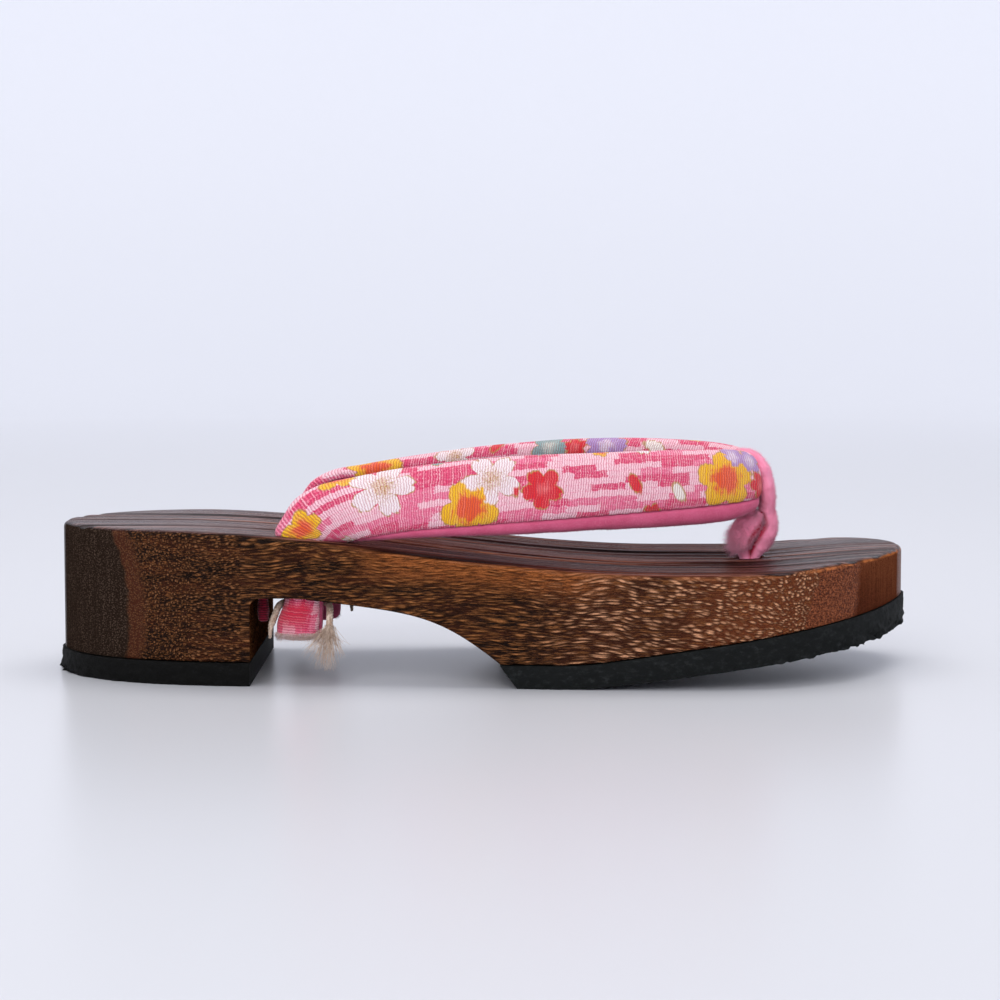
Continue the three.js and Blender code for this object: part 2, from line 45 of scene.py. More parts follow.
def splineAt(points, t, closed=False):
    # Centripetal Catmull-Rom: each span is a cubic through its two points, with slopes weighted by
    # the square root of the distances, and the end points are carried on in a straight line
    points = np.asarray(points, float)
    count = len(points)
    place = np.asarray(t, float) * (count if closed else count - 1)
    span = np.floor(place).astype(int)
    if closed:
        share = (place - span)[:, None]
        p0, p1, p2, p3 = (points[(span + k) % count] for k in (-1, 0, 1, 2))
    else:
        span = np.clip(span, 0, count - 2)
        share = (place - span)[:, None]
        ends = np.vstack([2 * points[0] - points[1], points, 2 * points[-1] - points[-2]])
        p0, p1, p2, p3 = (ends[span + k] for k in (0, 1, 2, 3))
    gaps = [np.maximum(((b - a) ** 2).sum(1, keepdims=True), 1e-9) ** 0.25
            for a, b in ((p0, p1), (p1, p2), (p2, p3))]
    slope1 = ((p1 - p0) / gaps[0] - (p2 - p0) / (gaps[0] + gaps[1]) + (p2 - p1) / gaps[1]) * gaps[1]
    slope2 = ((p2 - p1) / gaps[1] - (p3 - p1) / (gaps[1] + gaps[2]) + (p3 - p2) / gaps[2]) * gaps[1]
    return (p1 + slope1 * share + (3 * (p2 - p1) - 2 * slope1 - slope2) * share ** 2
            + (2 * (p1 - p2) + slope1 + slope2) * share ** 3)


def smoothStep(x, low, high):
    share = np.clip((np.asarray(x, float) - low) / (high - low), 0, 1)
    return share * share * (3 - 2 * share)


def latticeValue(ix, iy, seed):
    # A fixed random value from 0 to 1 for every whole pair of numbers
    mixed = (ix * 374761393 + iy * 668265263 + seed * 974634777) & 0xFFFFFFFF
    mixed = ((mixed ^ (mixed >> 13)) * 1274126177) & 0xFFFFFFFF
    return ((mixed ^ (mixed >> 16)) & 0xFFFF) / 65535


def wander(x, y, seed):
    # Smooth noise from -1 to 1: lattice values blended with a smooth step along both directions
    x, y = np.broadcast_arrays(np.asarray(x, float), np.asarray(y, float))
    ix, iy = np.floor(x).astype(np.int64), np.floor(y).astype(np.int64)
    fx, fy = x - ix, y - iy
    fx, fy = fx * fx * (3 - 2 * fx), fy * fy * (3 - 2 * fy)
    low = latticeValue(ix, iy, seed) * (1 - fx) + latticeValue(ix + 1, iy, seed) * fx
    high = latticeValue(ix, iy + 1, seed) * (1 - fx) + latticeValue(ix + 1, iy + 1, seed) * fx
    return 2 * (low * (1 - fy) + high * fy) - 1


def unit(vectors):
    return vectors / np.maximum(np.linalg.norm(vectors, axis=-1, keepdims=True), 1e-9)


def squareTo(along):
    # Two unit directions square to each of the given ones and to each other
    side = unit(np.cross(along, [0.31, 0.52, 0.79]))
    return side, np.cross(along, side)


def gridFaces(rows, columns):
    # Quads between neighbouring rows, closed round in the second direction
    r, c = np.arange(rows - 1)[:, None], np.arange(columns)[None, :]
    n = (c + 1) % columns
    quads = np.stack([r * columns + c, r * columns + n, (r + 1) * columns + n, (r + 1) * columns + c], -1)
    return quads.reshape(-1, 4)


def capped(grids):
    # Several closed tubes as one list of points and one list of faces: the quads and then the end caps
    points, faces, caps, start = [], [], [], 0
    for grid in grids:
        rows, columns = grid.shape[:2]
        faces.append(gridFaces(rows, columns) + start)
        caps.append([start + k for k in range(columns)][::-1])
        caps.append([start + (rows - 1) * columns + k for k in range(columns)])
        points.append(grid.reshape(-1, 3))
        start += rows * columns
    return np.vstack(points), np.vstack(faces).tolist() + caps


def addObject(name, points, faces, material=None):
    # A smooth object from points in metres and faces as lists of corners
    mesh = bpy.data.meshes.new(name)
    mesh.from_pydata(np.reshape(points, (-1, 3)).tolist(), [], faces)
    mesh.polygons.foreach_set("use_smooth", np.ones(len(faces), bool))
    if material is not None:
        mesh.materials.append(material)
    made = bpy.data.objects.new(name, mesh)
    bpy.context.scene.collection.objects.link(made)
    return made


def addPiece(name, points, faces, material, slot, nodes=(), values=None, colours=None, flatMap=None,
             sharp=None, merge=0.0):
    # A piece from points in millimetres, with its attributes, its flat map and the nodes it stands for
    piece = addObject(name, np.asarray(points) * millimetre, faces, material)
    mesh = piece.data
    for key, value in (values or {}).items():
        mesh.attributes.new(key, "FLOAT", "POINT").data.foreach_set("value", np.ravel(value).astype("f"))
    for key, value in (colours or {}).items():
        full = np.ones((len(mesh.vertices), 4), "f")
        full[:, :3] = np.reshape(value, (-1, 3))
        mesh.attributes.new(key, "FLOAT_COLOR", "POINT").data.foreach_set("color", full.ravel())
    if flatMap is not None:
        corner = np.empty(len(mesh.loops), int)
        mesh.loops.foreach_get("vertex_index", corner)
        mesh.uv_layers.new(name="flat").data.foreach_set("uv", np.reshape(flatMap, (-1, 2))[corner].ravel())
    if merge:
        work = bmesh.new()
        work.from_mesh(mesh)
        bmesh.ops.remove_doubles(work, verts=work.verts, dist=merge * millimetre)
        bmesh.ops.recalc_face_normals(work, faces=work.faces)
        work.to_mesh(mesh)
        work.free()
    if sharp:
        mesh.set_sharp_from_angle(angle=radians(sharp))
    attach(piece, "root")
    if nodes:
        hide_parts(*nodes)
    print("piece", name, len(mesh.polygons))
    return piece


# Shader nodes

def tone(red, green, blue):
    # A colour given as on a screen, from 0 to 255, made linear
    shares = np.array([red, green, blue]) / 255
    linear = np.where(shares <= 0.04045, shares / 12.92, ((shares + 0.055) / 1.055) ** 2.4)
    return (*linear.tolist(), 1.0)


class Shader:
    # A node material: each helper adds its nodes and gives back the last one's output
    def __init__(self, name, **values):
        self.material = bpy.data.materials.new(name)
        self.material.use_nodes = True
        self.tree = self.material.node_tree
        self.surface = self.tree.nodes["Principled BSDF"]
        for key, value in values.items():
            self.put(self.surface, key, value)

    def put(self, node, key, value):
        socket = node.inputs[key if isinstance(key, int) else key.replace("_", " ")]
        if isinstance(value, bpy.types.NodeSocket):
            self.tree.links.new(value, socket)
        else:
            socket.default_value = value

    def add(self, kind, inputs, **settings):
        node = self.tree.nodes.new("ShaderNode" + kind)
        for key, value in settings.items():
            setattr(node, key, value)
        for key, value in inputs.items():
            self.put(node, key, value)
        return node

    def place(self, scale=(1, 1, 1)):
        # Object coordinates in millimetres, then scaled
        if not hasattr(self, "inMillimetres"):
            coordinates = self.add("TexCoord", {}).outputs["Object"]
            self.inMillimetres = self.add("VectorMath", {0: coordinates, 1: (1000, 1000, 1000)},
                                          operation="MULTIPLY").outputs[0]
        return self.add("Mapping", {"Vector": self.inMillimetres, "Scale": scale}).outputs[0]

    def noise(self, vector, detail=2, roughness=0.5, output=0):
        return self.add("TexNoise", {"Vector": vector, "Scale": 1.0, "Detail": detail,
                                     "Roughness": roughness}).outputs[output]

    def grain(self, scale, detail=2, roughness=0.5):
        return self.noise(self.place(scale), detail, roughness)

    def chance(self, value):
        # A random value for every whole number
        return self.add("TexWhiteNoise", {"W": value}, noise_dimensions="1D").outputs[0]

    def math(self, operation, a, b=0.0):
        return self.add("Math", {0: a, 1: b}, operation=operation).outputs[0]

    def plus(self, first, *others):
        for other in others:
            first = self.math("ADD", first, other)
        return first

    def times(self, first, *others):
        for other in others:
            first = self.math("MULTIPLY", first, other)
        return first

    def minus(self, a, b):
        return self.math("SUBTRACT", a, b)

    def most(self, a, b):
        return self.math("MAXIMUM", a, b)

    def rest(self, share):
        return self.math("SUBTRACT", 1.0, share)

    def size(self, value):
        return self.math("ABSOLUTE", value)

    def beyond(self, value, start):
        # How far a value lies outside a start on its own side of zero
        return self.math("MINIMUM" if start < 0 else "MAXIMUM", self.plus(value, -start), 0)

    def band(self, value, low, high, to=(0, 1), smooth=True):
        # From to's first value at low to its second at high, and level outside
        return self.add("MapRange", {0: value, 1: low, 2: high, 3: to[0], 4: to[1]},
                        interpolation_type="SMOOTHSTEP" if smooth else "LINEAR").outputs[0]

    def mix(self, share, a, b, blend="MIX"):
        node = self.tree.nodes.new("ShaderNodeMix")
        node.data_type = "RGBA"
        node.blend_type = blend
        for index, value in ((0, share), (6, a), (7, b)):
            self.put(node, index, value)
        return node.outputs[2]

    def attribute(self, name, output="Fac"):
        return self.add("Attribute", {}, attribute_name=name).outputs[output]

    def split(self, vector):
        return self.add("SeparateXYZ", {0: vector}).outputs

    def join(self, x, y, z=0.0):
        return self.add("CombineXYZ", {0: x, 1: y, 2: z}).outputs[0]

    def finish(self, colour, height, depth, strength=1.0):
        # The base colour and a bump of the height, as deep as depth in metres
        self.put(self.surface, "Base Color", colour)
        bump = self.add("Bump", {"Height": height, "Strength": strength, "Distance": depth})
        self.put(self.surface, "Normal", bump.outputs[0])
        return self.material


# The platform's own sizes and curves

shoe = dict(
    length=240, ballWidth=89, heelHeight=42.2, ballHeight=31, toeRise=3, edgeRadius=1.8, footEase=0.35,
    heelFront=-64, foreRear=4, archHeight=24, archCorner=3, padThickness=6.6, padToeThickness=8.4,
    springFrom=26.4, springSlope=0.147, knee=7.5, padOverhang=0.8, padRake=4.6, glueGap=0.3,
    rearHoleX=-49.5, rearHoleWide=11, lateralHoleY=-31, medialHoleY=31, toeHoleX=75.3, toeHoleWide=8.4,
    thongLineY=3, recessWide=19, recessDepth=8.5,
    outline=[(-0.5, 0.01), (-0.48, -0.155), (-0.435, -0.285), (-0.35, -0.385), (-0.2, -0.43), (0.02, -0.468),
             (0.2, -0.5), (0.31, -0.477), (0.39, -0.37), (0.45, -0.2), (0.49, 0.02), (0.5, 0.15), (0.487, 0.3),
             (0.44, 0.43), (0.34, 0.488), (0.15, 0.494), (-0.1, 0.462), (-0.3, 0.42), (-0.42, 0.345),
             (-0.48, 0.19)],
)


def topHeight(x):
    # Level heel, a long smooth fall to the ball and a small lift at the toe
    fall = smoothStep(x, -0.367 * shoe["length"], 0.217 * shoe["length"])
    lift = smoothStep(x, 0.283 * shoe["length"], 0.492 * shoe["length"])
    drop = shoe["heelHeight"] - shoe["ballHeight"]
    return shoe["ballHeight"] + drop * (1 - fall) + shoe["toeRise"] * lift


def springHeight(x, start, slope):
    # Level to the knee, then rising with a rounded bend
    knee = shoe["knee"]
    along = np.asarray(x, float) - shoe["springFrom"]
    bend = np.clip(along + knee, 0, 2 * knee) ** 2 / (4 * knee)
    return start + slope * np.where(along > knee, along, bend)


def woodUnder(x):
    # Heel foot, arch with its small corner radius and long curve, then the forefoot with its spring
    x = np.asarray(x, float)
    heelFront, foreRear = shoe["heelFront"], shoe["foreRear"]
    high, low, radius = shoe["archHeight"], shoe["padThickness"], shoe["archCorner"]
    reach, drop = foreRear - heelFront, high - low
    start = heelFront + 0.2 * reach
    t = np.linspace(0, 1, 200)[:, None]
    a, b = np.array([start, high]), np.array([foreRear, low])
    c1 = np.array([start + 0.456 * reach, high - 0.214 * drop])
    c2 = np.array([foreRear - 0.262 * reach, low + 0.814 * drop])
    curve = (1 - t) ** 3 * a + 3 * (1 - t) ** 2 * t * c1 + 3 * (1 - t) * t ** 2 * c2 + t ** 3 * b
    corner = high - radius + np.sqrt(np.maximum(radius ** 2 - (x - heelFront - radius) ** 2, 0))
    arch = np.where(x < heelFront + radius, corner, np.interp(x, curve[:, 0], curve[:, 1]))
    fore = springHeight(x, low, shoe["springSlope"])
    return np.where(x <= heelFront, low, np.where(x < foreRear, arch, fore))


def outlineSides(offset, shares):
    # The plan curve moved outward, read as two sides at the same places along the shoe. A share runs
    # from 0 at the heel's tip to 1 at the toe's tip.
    plan = np.array([(a * shoe["length"], c * shoe["ballWidth"], 0) for a, c in shoe["outline"]])
    curve = splineAt(plan, np.arange(6000) / 6000, closed=True)
    along = unit(np.roll(curve, -1, 0) - np.roll(curve, 1, 0))
    curve = curve + offset * np.stack([along[:, 1], -along[:, 0], 0 * along[:, 0]], -1)
    curve = np.roll(curve, -np.argmin(curve[:, 0]), 0)
    tip = np.argmax(curve[:, 0])
    low, high = curve[:tip + 1], np.vstack([curve[tip:], curve[:1]])[::-1]
    x = low[0, 0] + (low[-1, 0] - low[0, 0]) * shares
    return x, np.interp(x, low[:, 0], low[:, 1]), np.interp(x, high[:, 0], high[:, 1])


def tipSpacing(count):
    # Close together at both tips
    return (1 - np.cos(np.linspace(0, pi, count))) / 2


# Floor and backdrop in one shallow bowl, light and camera

studio = dict(
    floor=tone(202, 203, 209), backdrop=tone(238, 240, 249), glow=0.26, flatRadius=1.4, bowlRadius=3.4,
    bowlHeight=2.4, nearFloor=300, glowFrom=500, farFloor=2600, cameraPlace=(0.004, -0.748, 0.110),
    cameraDown=4.76, focalPixels=2640, sensor=36, sky=(0.94, 0.955, 1.0, 1), skyStrength=0.56,
    # name, place, aim, size, power and colour of each light
    lights=[("overhead", (0.0, 0.2, 1.4), (0, 0, 0), (1.7, 1.1), 14.2, (1.0, 0.985, 0.955)),
            ("front", (-0.3, -1.4, 0.9), (0, 0, 0.03), (1.2, 0.9), 11.5, (1.0, 0.98, 0.955))],
)


def makeStudio():
    # A disc that is level to flatRadius and then rises with the square of the distance
    flat, bowl = studio["flatRadius"], studio["bowlRadius"]
    rings = np.concatenate([np.linspace(0.02, flat, 12), np.linspace(flat + 0.05, bowl, 40)])
    turn = np.arange(128) / 128 * 2 * pi
    rise = np.clip((rings - flat) / (bowl - flat), 0, 1) ** 2
    points = np.stack(np.broadcast_arrays(rings[:, None] * np.cos(turn), rings[:, None] * np.sin(turn),
                                          (rise * studio["bowlHeight"])[:, None]), -1)
    s = Shader("paleFloor", Roughness=0.3, Specular_IOR_Level=0.35)
    distance = s.add("VectorMath", {0: s.place()}, operation="LENGTH").outputs["Value"]
    # the floor is painted darker near the middle and paler further out, and the far bowl glows: painted light
    # on the stage
    s.put(s.surface, "Base Color", s.mix(s.band(distance, studio["nearFloor"], studio["farFloor"]),
                                         studio["floor"], studio["backdrop"]))
    s.put(s.surface, "Emission Color", studio["backdrop"])
    s.put(s.surface, "Emission Strength",
          s.band(distance, studio["glowFrom"], studio["farFloor"], (0, studio["glow"])))
    faces = gridFaces(len(rings), len(turn))[:, ::-1].tolist() + [list(range(len(turn)))]
    floor = addObject("floor", points, faces, s.material)


def addLight(name, place, aim, size, power, colour):
    light = bpy.data.lights.new(name, "AREA")
    light.shape = "RECTANGLE"
    light.size, light.size_y = size
    light.energy = power
    light.color = colour
    holder = bpy.data.objects.new(name, light)
    holder.location = place
    direction = np.array(aim, float) - np.array(place, float)
    holder.rotation_euler = Vector(direction).to_track_quat("-Z", "Y").to_euler()
    bpy.context.scene.collection.objects.link(holder)


def makeCamera():
    camera = bpy.data.cameras.new("camera")
    camera.sensor_width = studio["sensor"]
    camera.lens = studio["sensor"] * studio["focalPixels"] / 1000
    camera.clip_end = 20
    holder = bpy.data.objects.new("camera", camera)
    holder.location = studio["cameraPlace"]
    holder.rotation_euler = (radians(90 - studio["cameraDown"]), 0, 0)
    bpy.context.scene.collection.objects.link(holder)
    bpy.context.scene.camera = holder


makeCamera()
makeStudio()
for values in studio["lights"]:
    addLight(*values)
world = bpy.data.worlds.new("studioWorld")
world.use_nodes = True
sky = world.node_tree.nodes["Background"].inputs
sky["Color"].default_value, sky["Strength"].default_value = studio["sky"], studio["skyStrength"]
bpy.context.scene.world = world
bpy.context.scene.view_settings.view_transform = "Standard"
print("studio made")


# Platform

wood = dict(
    ground=tone(24, 13, 9), warm=tone(56, 27, 15), heelDot=tone(138, 92, 60), midDash=tone(162, 104, 60),
    ballDash=tone(216, 156, 118), amber=tone(172, 98, 50), toeGround=tone(72, 33, 20),
    toeDot=tone(160, 92, 60), tip=tone(92, 46, 30),
    backGround=tone(38, 28, 22), backDot=tone(86, 70, 60), strip=tone(66, 33, 20),
    ballGround=tone(66, 33, 20), ballWarm=tone(108, 54, 31), toeLow=tone(126, 71, 45),
    # the two arris colours are a painted highlight along the upper edge
    top=tone(76, 36, 31), topDark=tone(24, 11, 10), topPale=tone(164, 108, 90), arrisHighlight=tone(150, 92, 58),
    toeArrisHighlight=tone(196, 116, 66), ridgeHigh=0.6, ridgePitch=3.6,
    # fibre cells: how long they are along the shoe, where they get shorter and by how much, and their size
    stretched=0.17, shorter=[(-66, 0.42), (-80, 0.5), (36, 0.13), (62, 0.12), (80, 0.3)], cellSize=1.12,
    # places along the shoe where a stretch of the wood begins and where it is full
    at=dict(heelDots=(-50, -76), ball=(4, 34), ballWarm=(44, 74), toe=(82.8, 83.6), tip=(100.2, 102.2),
            back=(-95.8, -97.2), strip=(-90.5, -93.5), upperEdge=(-40, 50), amberRear=(-42, -22),
            # the next line also sets where the painted highlight on the upper edge turns orange and where it
            # grows in
            amberFore=(40, 18), toeArrisHighlight=(86, 92), edgeHighlight=(-60, -5), sawnRear=(-80, -72), sawnFore=(60, 50),
            heelGloss=(-40, -95), toeGloss=(70, 105), heelTip=(-118.4, -120.4), toeTip=(117.0, 119.6)),
)


def woodMaterial():
    # Fibre bundles are cells stretched along the shoe, so they are dots where the side is cut across
    # them and streaks where it runs with them. Places along the shoe choose the colours.
    s, at = Shader("lacqueredWood"), wood["at"]
    plus, times, most, rest, band, mix, grain = s.plus, s.times, s.most, s.rest, s.band, s.mix, s.grain
    x, y, z = s.split(s.place())[:3]
    warp = s.split(s.noise(s.place((0.04, 0.1, 0.1)), output="Color"))
    # along: cells get shorter towards the heel and the toe; sink: they slant at the ball
    along = times(x, wood["stretched"])
    for start, share in wood["shorter"]:
        along = plus(along, times(s.beyond(x, start), share))
    along = plus(along, times(warp[0], 2.6))
    sink = plus(z, times(s.beyond(x, 36), 0.14), times(warp[2], 6.0))
    aside = plus(y, times(warp[1], 4.5))
    spot = s.join(along, times(aside, wood["cellSize"]), times(sink, wood["cellSize"]))
    cell = s.add("TexVoronoi", {"Vector": spot, "Scale": 1.0, "Randomness": 0.85})
    heelDots, ball = band(x, *at["heelDots"]), band(x, *at["ball"])
    closeness = s.minus(cell.outputs["Distance"], times(most(ball, times(heelDots, 0.4)), 0.07))
    crest, core = band(closeness, 0.54, 0.16), band(closeness, 0.36, 0.05)
    cellTone = s.split(cell.outputs["Color"])
    tinyCell = s.add("TexVoronoi", {"Vector": s.place((1.5, 2.3, 2.3)), "Scale": 1.0})
    tinyCrest = band(tinyCell.outputs["Distance"], 0.62, 0.15)
    grains, fine = grain((1.3, 2.2, 2.2), 3, 0.75), grain((0.18, 2.8, 2.8), 3, 0.65)
    broad = grain((0.035, 0.2, 0.25), 3, 0.6)
    edge = times(grain((0.3, 0.3, 0.3)), 2.4)
    # the stretches' borders lean and bend with the height
    toe = band(plus(x, times(z, -0.29), edge), *at["toe"])
    tip = band(plus(x, times(z, -0.1), edge), *at["tip"])
    lift = plus(z, -18)
    bent = plus(x, times(lift, lift, 0.0089), edge)
    back = band(bent, *at["back"])
    strip = times(rest(back), band(bent, *at["strip"]))
    # the waist and the ball: ground, then dashes with a bright core, then amber below the upper edge
    ground = mix(band(broad, 0.38, 0.66), wood["ground"], wood["warm"])
    ground = mix(times(ball, 0.7), ground, wood["ballGround"])
    ground = mix(band(x, *at["ballWarm"], (0, 0.75)), ground, wood["ballWarm"])
    ground = mix(times(band(fine, 0.48, 0.7), 0.55), ground, wood["midDash"])
    dash = mix(heelDots, mix(ball, wood["midDash"], wood["ballDash"]), wood["heelDot"])
    strength = times(crest, band(plus(times(cellTone[0], 0.6), times(broad, 0.6)), 0.3, 0.75, (0.5, 1.0)))
    side = mix(times(strength, 0.8), ground, mix(0.35, dash, wood["warm"]))
    side = mix(times(core, strength, band(fine, 0.3, 0.55, (0.55, 1.0))), side, dash)
    upper = plus(z, band(x, *at["upperEdge"], (-29.5, -21.5), smooth=False))
    amber = times(band(upper, -2, 7), times(band(x, *at["amberRear"]), band(x, *at["amberFore"])))
    amber = times(amber, band(fine, 0.34, 0.58, (0.15, 0.95)), band(crest, 0, 1, (0.7, 1.0)))
    side = mix(amber, side, wood["amber"])
    # the toe's grains and the streaked block at its tip, then the heel's strip and back
    upright = band(grain((1.4, 1.4, 0.07)), 0.38, 0.62)
    orange = band(plus(z, times(x, 0.5), times(broad, 9)), 77, 92)
    toeSide = mix(band(grains, 0.38, 0.68), wood["toeGround"], wood["toeDot"])
    tipSide = mix(plus(times(upright, 0.3), band(fine, 0.42, 0.62, (0, 0.5))),
                  mix(orange, wood["tip"], wood["toeLow"]), wood["strip"])
    toeSide = mix(tip, toeSide, tipSide)
    toeSide = mix(times(band(plus(z, times(x, -0.2)), -2.0, -8.5), 0.6), toeSide, wood["toeLow"])
    side = mix(toe, side, toeSide)
    side = mix(strip, side, mix(times(tinyCrest, 0.45), wood["strip"], wood["heelDot"]))
    backSide = mix(tinyCrest, wood["backGround"], wood["backDot"])
    side = mix(back, side, mix(times(upright, 0.6), backSide, wood["backGround"]))
    # the top: crests and grooves along the shoe, with fine dark and pale lines and painted shade in the
    # grooves
    endwise, _, facing = s.split(s.add("TexCoord", {}).outputs["Normal"])[:3]
    top = band(facing, 0.55, 0.9)
    line = grain((0.01, 0.6, 0.1), 5, 0.75)
    topColour = mix(band(line, 0.50, 0.38), wood["top"], wood["topDark"])
    topColour = mix(times(band(line, 0.50, 0.64), 0.85), topColour, wood["topPale"])
    # painted shade: the low grooves between the crests are darkened
    topColour = mix(band(s.attribute("ridge"), 0.75, 0.2, (0, 0.8)), topColour, wood["topDark"])
    colour = mix(top, side, topColour)
    # a painted highlight along the upper edge, growing in from the waist forward and turning orange at the toe
    arrisHighlight = times(band(facing, 0.12, 0.4), band(facing, 0.9, 0.65))
    edgeHighlight = times(band(grain((0.12, 0.5, 0.5)), 0.35, 0.6), band(x, *at["edgeHighlight"]))
    arrisHighlightColour = mix(band(x, *at["toeArrisHighlight"]), wood["arrisHighlight"], wood["toeArrisHighlight"])
    colour = mix(times(arrisHighlight, times(edgeHighlight, 0.8)), colour, arrisHighlightColour)
    # the sawn faces on both sides of the arch are dull; the top shines towards the heel and the toe
    s.put(s.surface, "Roughness", plus(band(fine, 0.2, 0.8, (0.30, 0.46)), times(top, -0.04)))
    sawn = times(band(s.size(endwise), 0.5, 0.8), times(band(x, *at["sawnRear"]), band(x, *at["sawnFore"])))
    veryEnds = most(band(x, *at["heelTip"]), band(x, *at["toeTip"]))
    ends = most(band(x, *at["heelGloss"]), band(x, *at["toeGloss"]))
    sideGloss = times(rest(sawn), plus(times(rest(most(back, tip)), 0.045), times(veryEnds, 0.35)))
    topGloss = plus(times(ends, band(line, 0.38, 0.6, (0.36, 0.86))), 0.01)
    s.put(s.surface, "Specular IOR Level", plus(times(rest(top), sideGloss), times(top, topGloss)))
    plain = most(most(toe, back), strip)
    relief = plus(times(crest, rest(plain)), plus(times(fine, 0.3), times(tinyCrest, 0.3)))
    relief = plus(times(relief, rest(top)), times(line, 3.2, top))
    return s.finish(colour, relief, 0.0008)


def platformRings():
    # Rings over the plan curve: middle of the top, eased edge, side, eased foot and middle of the
    # underside. Opposite points of a ring have the same place along the shoe. Stations stand close
    # together at both walls of the arch.
    x, _, _ = outlineSides(0, tipSpacing(300))
    extra = [shoe["heelFront"] + np.array([-0.01, 0.01, 0.1, 0.4, 0.9, 1.6, 2.4, 3.0]),
             shoe["foreRear"] + np.array([-0.01, 0.01])]
    stations = np.sort(np.concatenate([x, *extra]))
    shares = (stations - stations[0]) / (stations[-1] - stations[0])
    count = len(shares)

    def ringAt(offset):
        xs, low, high = outlineSides(offset, shares)
        along = np.concatenate([xs, xs[-2:0:-1]])
        return along, np.concatenate([low, high[-2:0:-1]])

    size = 2 * count - 2
    opposite = (size - np.arange(size)) % size
    under = np.concatenate([woodUnder(stations), woodUnder(stations)[-2:0:-1]])
    radius = shoe["edgeRadius"]
    edgeX, edgeY = ringAt(-radius)
    rows = []

    def crestAt(x, y):
        # Lengthwise ridges: noise across the shoe that hardly changes along it, with steep flanks
        pitch = wood["ridgePitch"]
        waves = wander(x / 190 + y / 400, y / pitch, 2) + 0.35 * wander(x / 70, y / pitch * 2.1, 4)
        return smoothStep(waves, -0.45, 0.25)

    def ridges(x, y):
        return wood["ridgeHigh"] * (crestAt(x, y) - 1)

    for share in np.linspace(1, 0, 74):
        x = edgeX + (edgeX[opposite] - edgeX) * 0.5 * share
        y = edgeY + (edgeY[opposite] - edgeY) * 0.5 * share
        rows.append((x, y, topHeight(x) + ridges(x, y)))
    for angle in np.linspace(0, pi / 2, 7)[1:]:
        x, y = ringAt(-radius * (1 - np.sin(angle)))
        rows.append((x, y, topHeight(x) - radius * (1 - np.cos(angle)) + ridges(x, y) * np.cos(angle) ** 2))
    x, y = ringAt(0)
    high, low = topHeight(x) - radius, under + shoe["footEase"]
    for share in np.linspace(0, 1, 16)[1:]:
        rows.append((x, y, high + (low - high) * share))
    _, inY = ringAt(-shoe["footEase"])
    for share in np.linspace(0, 1, 15):
        rows.append((x + (x[opposite] - x) * 0.5 * share, inY + (inY[opposite] - inY) * 0.5 * share, under))
    points = np.stack([np.stack(row, -1) for row in rows])
    return points, crestAt(points[..., 0], points[..., 1])


def lathePart(radii, heights, x, y, count=64):
    # A closed turned solid: a radius for each height, carried round the upright axis
    turn = np.arange(count) / count * 2 * pi
    radii, heights = np.array(radii)[:, None], np.array(heights)[:, None]
    return np.stack(np.broadcast_arrays(x + radii * np.cos(turn), y + radii * np.sin(turn), heights), -1)


def makePlatform():
    # The rings as one skin, then each hole cut with a closed turned solid
    rings, crest = platformRings()
    piece = addPiece("platformWood", rings, gridFaces(*rings.shape[:2])[:, ::-1].tolist(), woodMaterial(),
                     "lacquered_wood", ["platform"], values=dict(ridge=crest), merge=0.004)
    recess = springHeight(shoe["toeHoleX"], shoe["padThickness"], shoe["springSlope"]) + shoe["recessDepth"]
    hole, deep = shoe["rearHoleWide"] / 2, shoe["recessWide"] / 2
    toeRadius = shoe["toeHoleWide"] / 2
    cutters = [lathePart([hole, hole], [0, 60], shoe["rearHoleX"], shoe["lateralHoleY"]),
               lathePart([hole, hole], [0, 60], shoe["rearHoleX"], shoe["medialHoleY"]),
               lathePart([deep, deep, toeRadius, toeRadius], [0, recess, recess, 60], shoe["toeHoleX"],
                         shoe["thongLineY"])]
    for cutter in cutters:
        points, faces = capped([cutter])
        tool = addObject("holeCutter", points * millimetre, faces)
        cut = piece.modifiers.new("hole", "BOOLEAN")
        cut.operation, cut.object, cut.solver = "DIFFERENCE", tool, "EXACT"
        bpy.context.view_layer.update()
        done = bpy.data.meshes.new_from_object(piece.evaluated_get(bpy.context.evaluated_depsgraph_get()))
        piece.modifiers.clear()
        old = piece.data
        piece.data = done
        bpy.data.meshes.remove(old)
        bpy.data.objects.remove(tool)
    piece.data.polygons.foreach_set("use_smooth", np.ones(len(piece.data.polygons), bool))
    piece.data.set_sharp_from_angle(angle=radians(38))
    print("platform holes cut", len(piece.data.polygons))


makePlatform()


# Rubber pads

rubber = dict(heel=(tone(9, 9, 8), tone(22, 22, 21)), fore=(tone(20, 22, 22), tone(46, 48, 48)), crumb=0.35,
              burr=0.85, drip=0.6, waist=0.25, toeWear=(62, 98), heelWear=(-108, -118), across=24, up=10)


def rubberMaterial(name, colours):
    s = Shader(name, Roughness=0.7, Specular_IOR_Level=0.1)
    grit, smear = s.grain((1.6, 1.6, 1.6), 5, 0.7), s.grain((0.5, 0.5, 0.9), 5, 0.7)
    return s.finish(s.mix(s.band(smear, 0.48, 0.8), *colours), grit, 0.0004, 0.8)


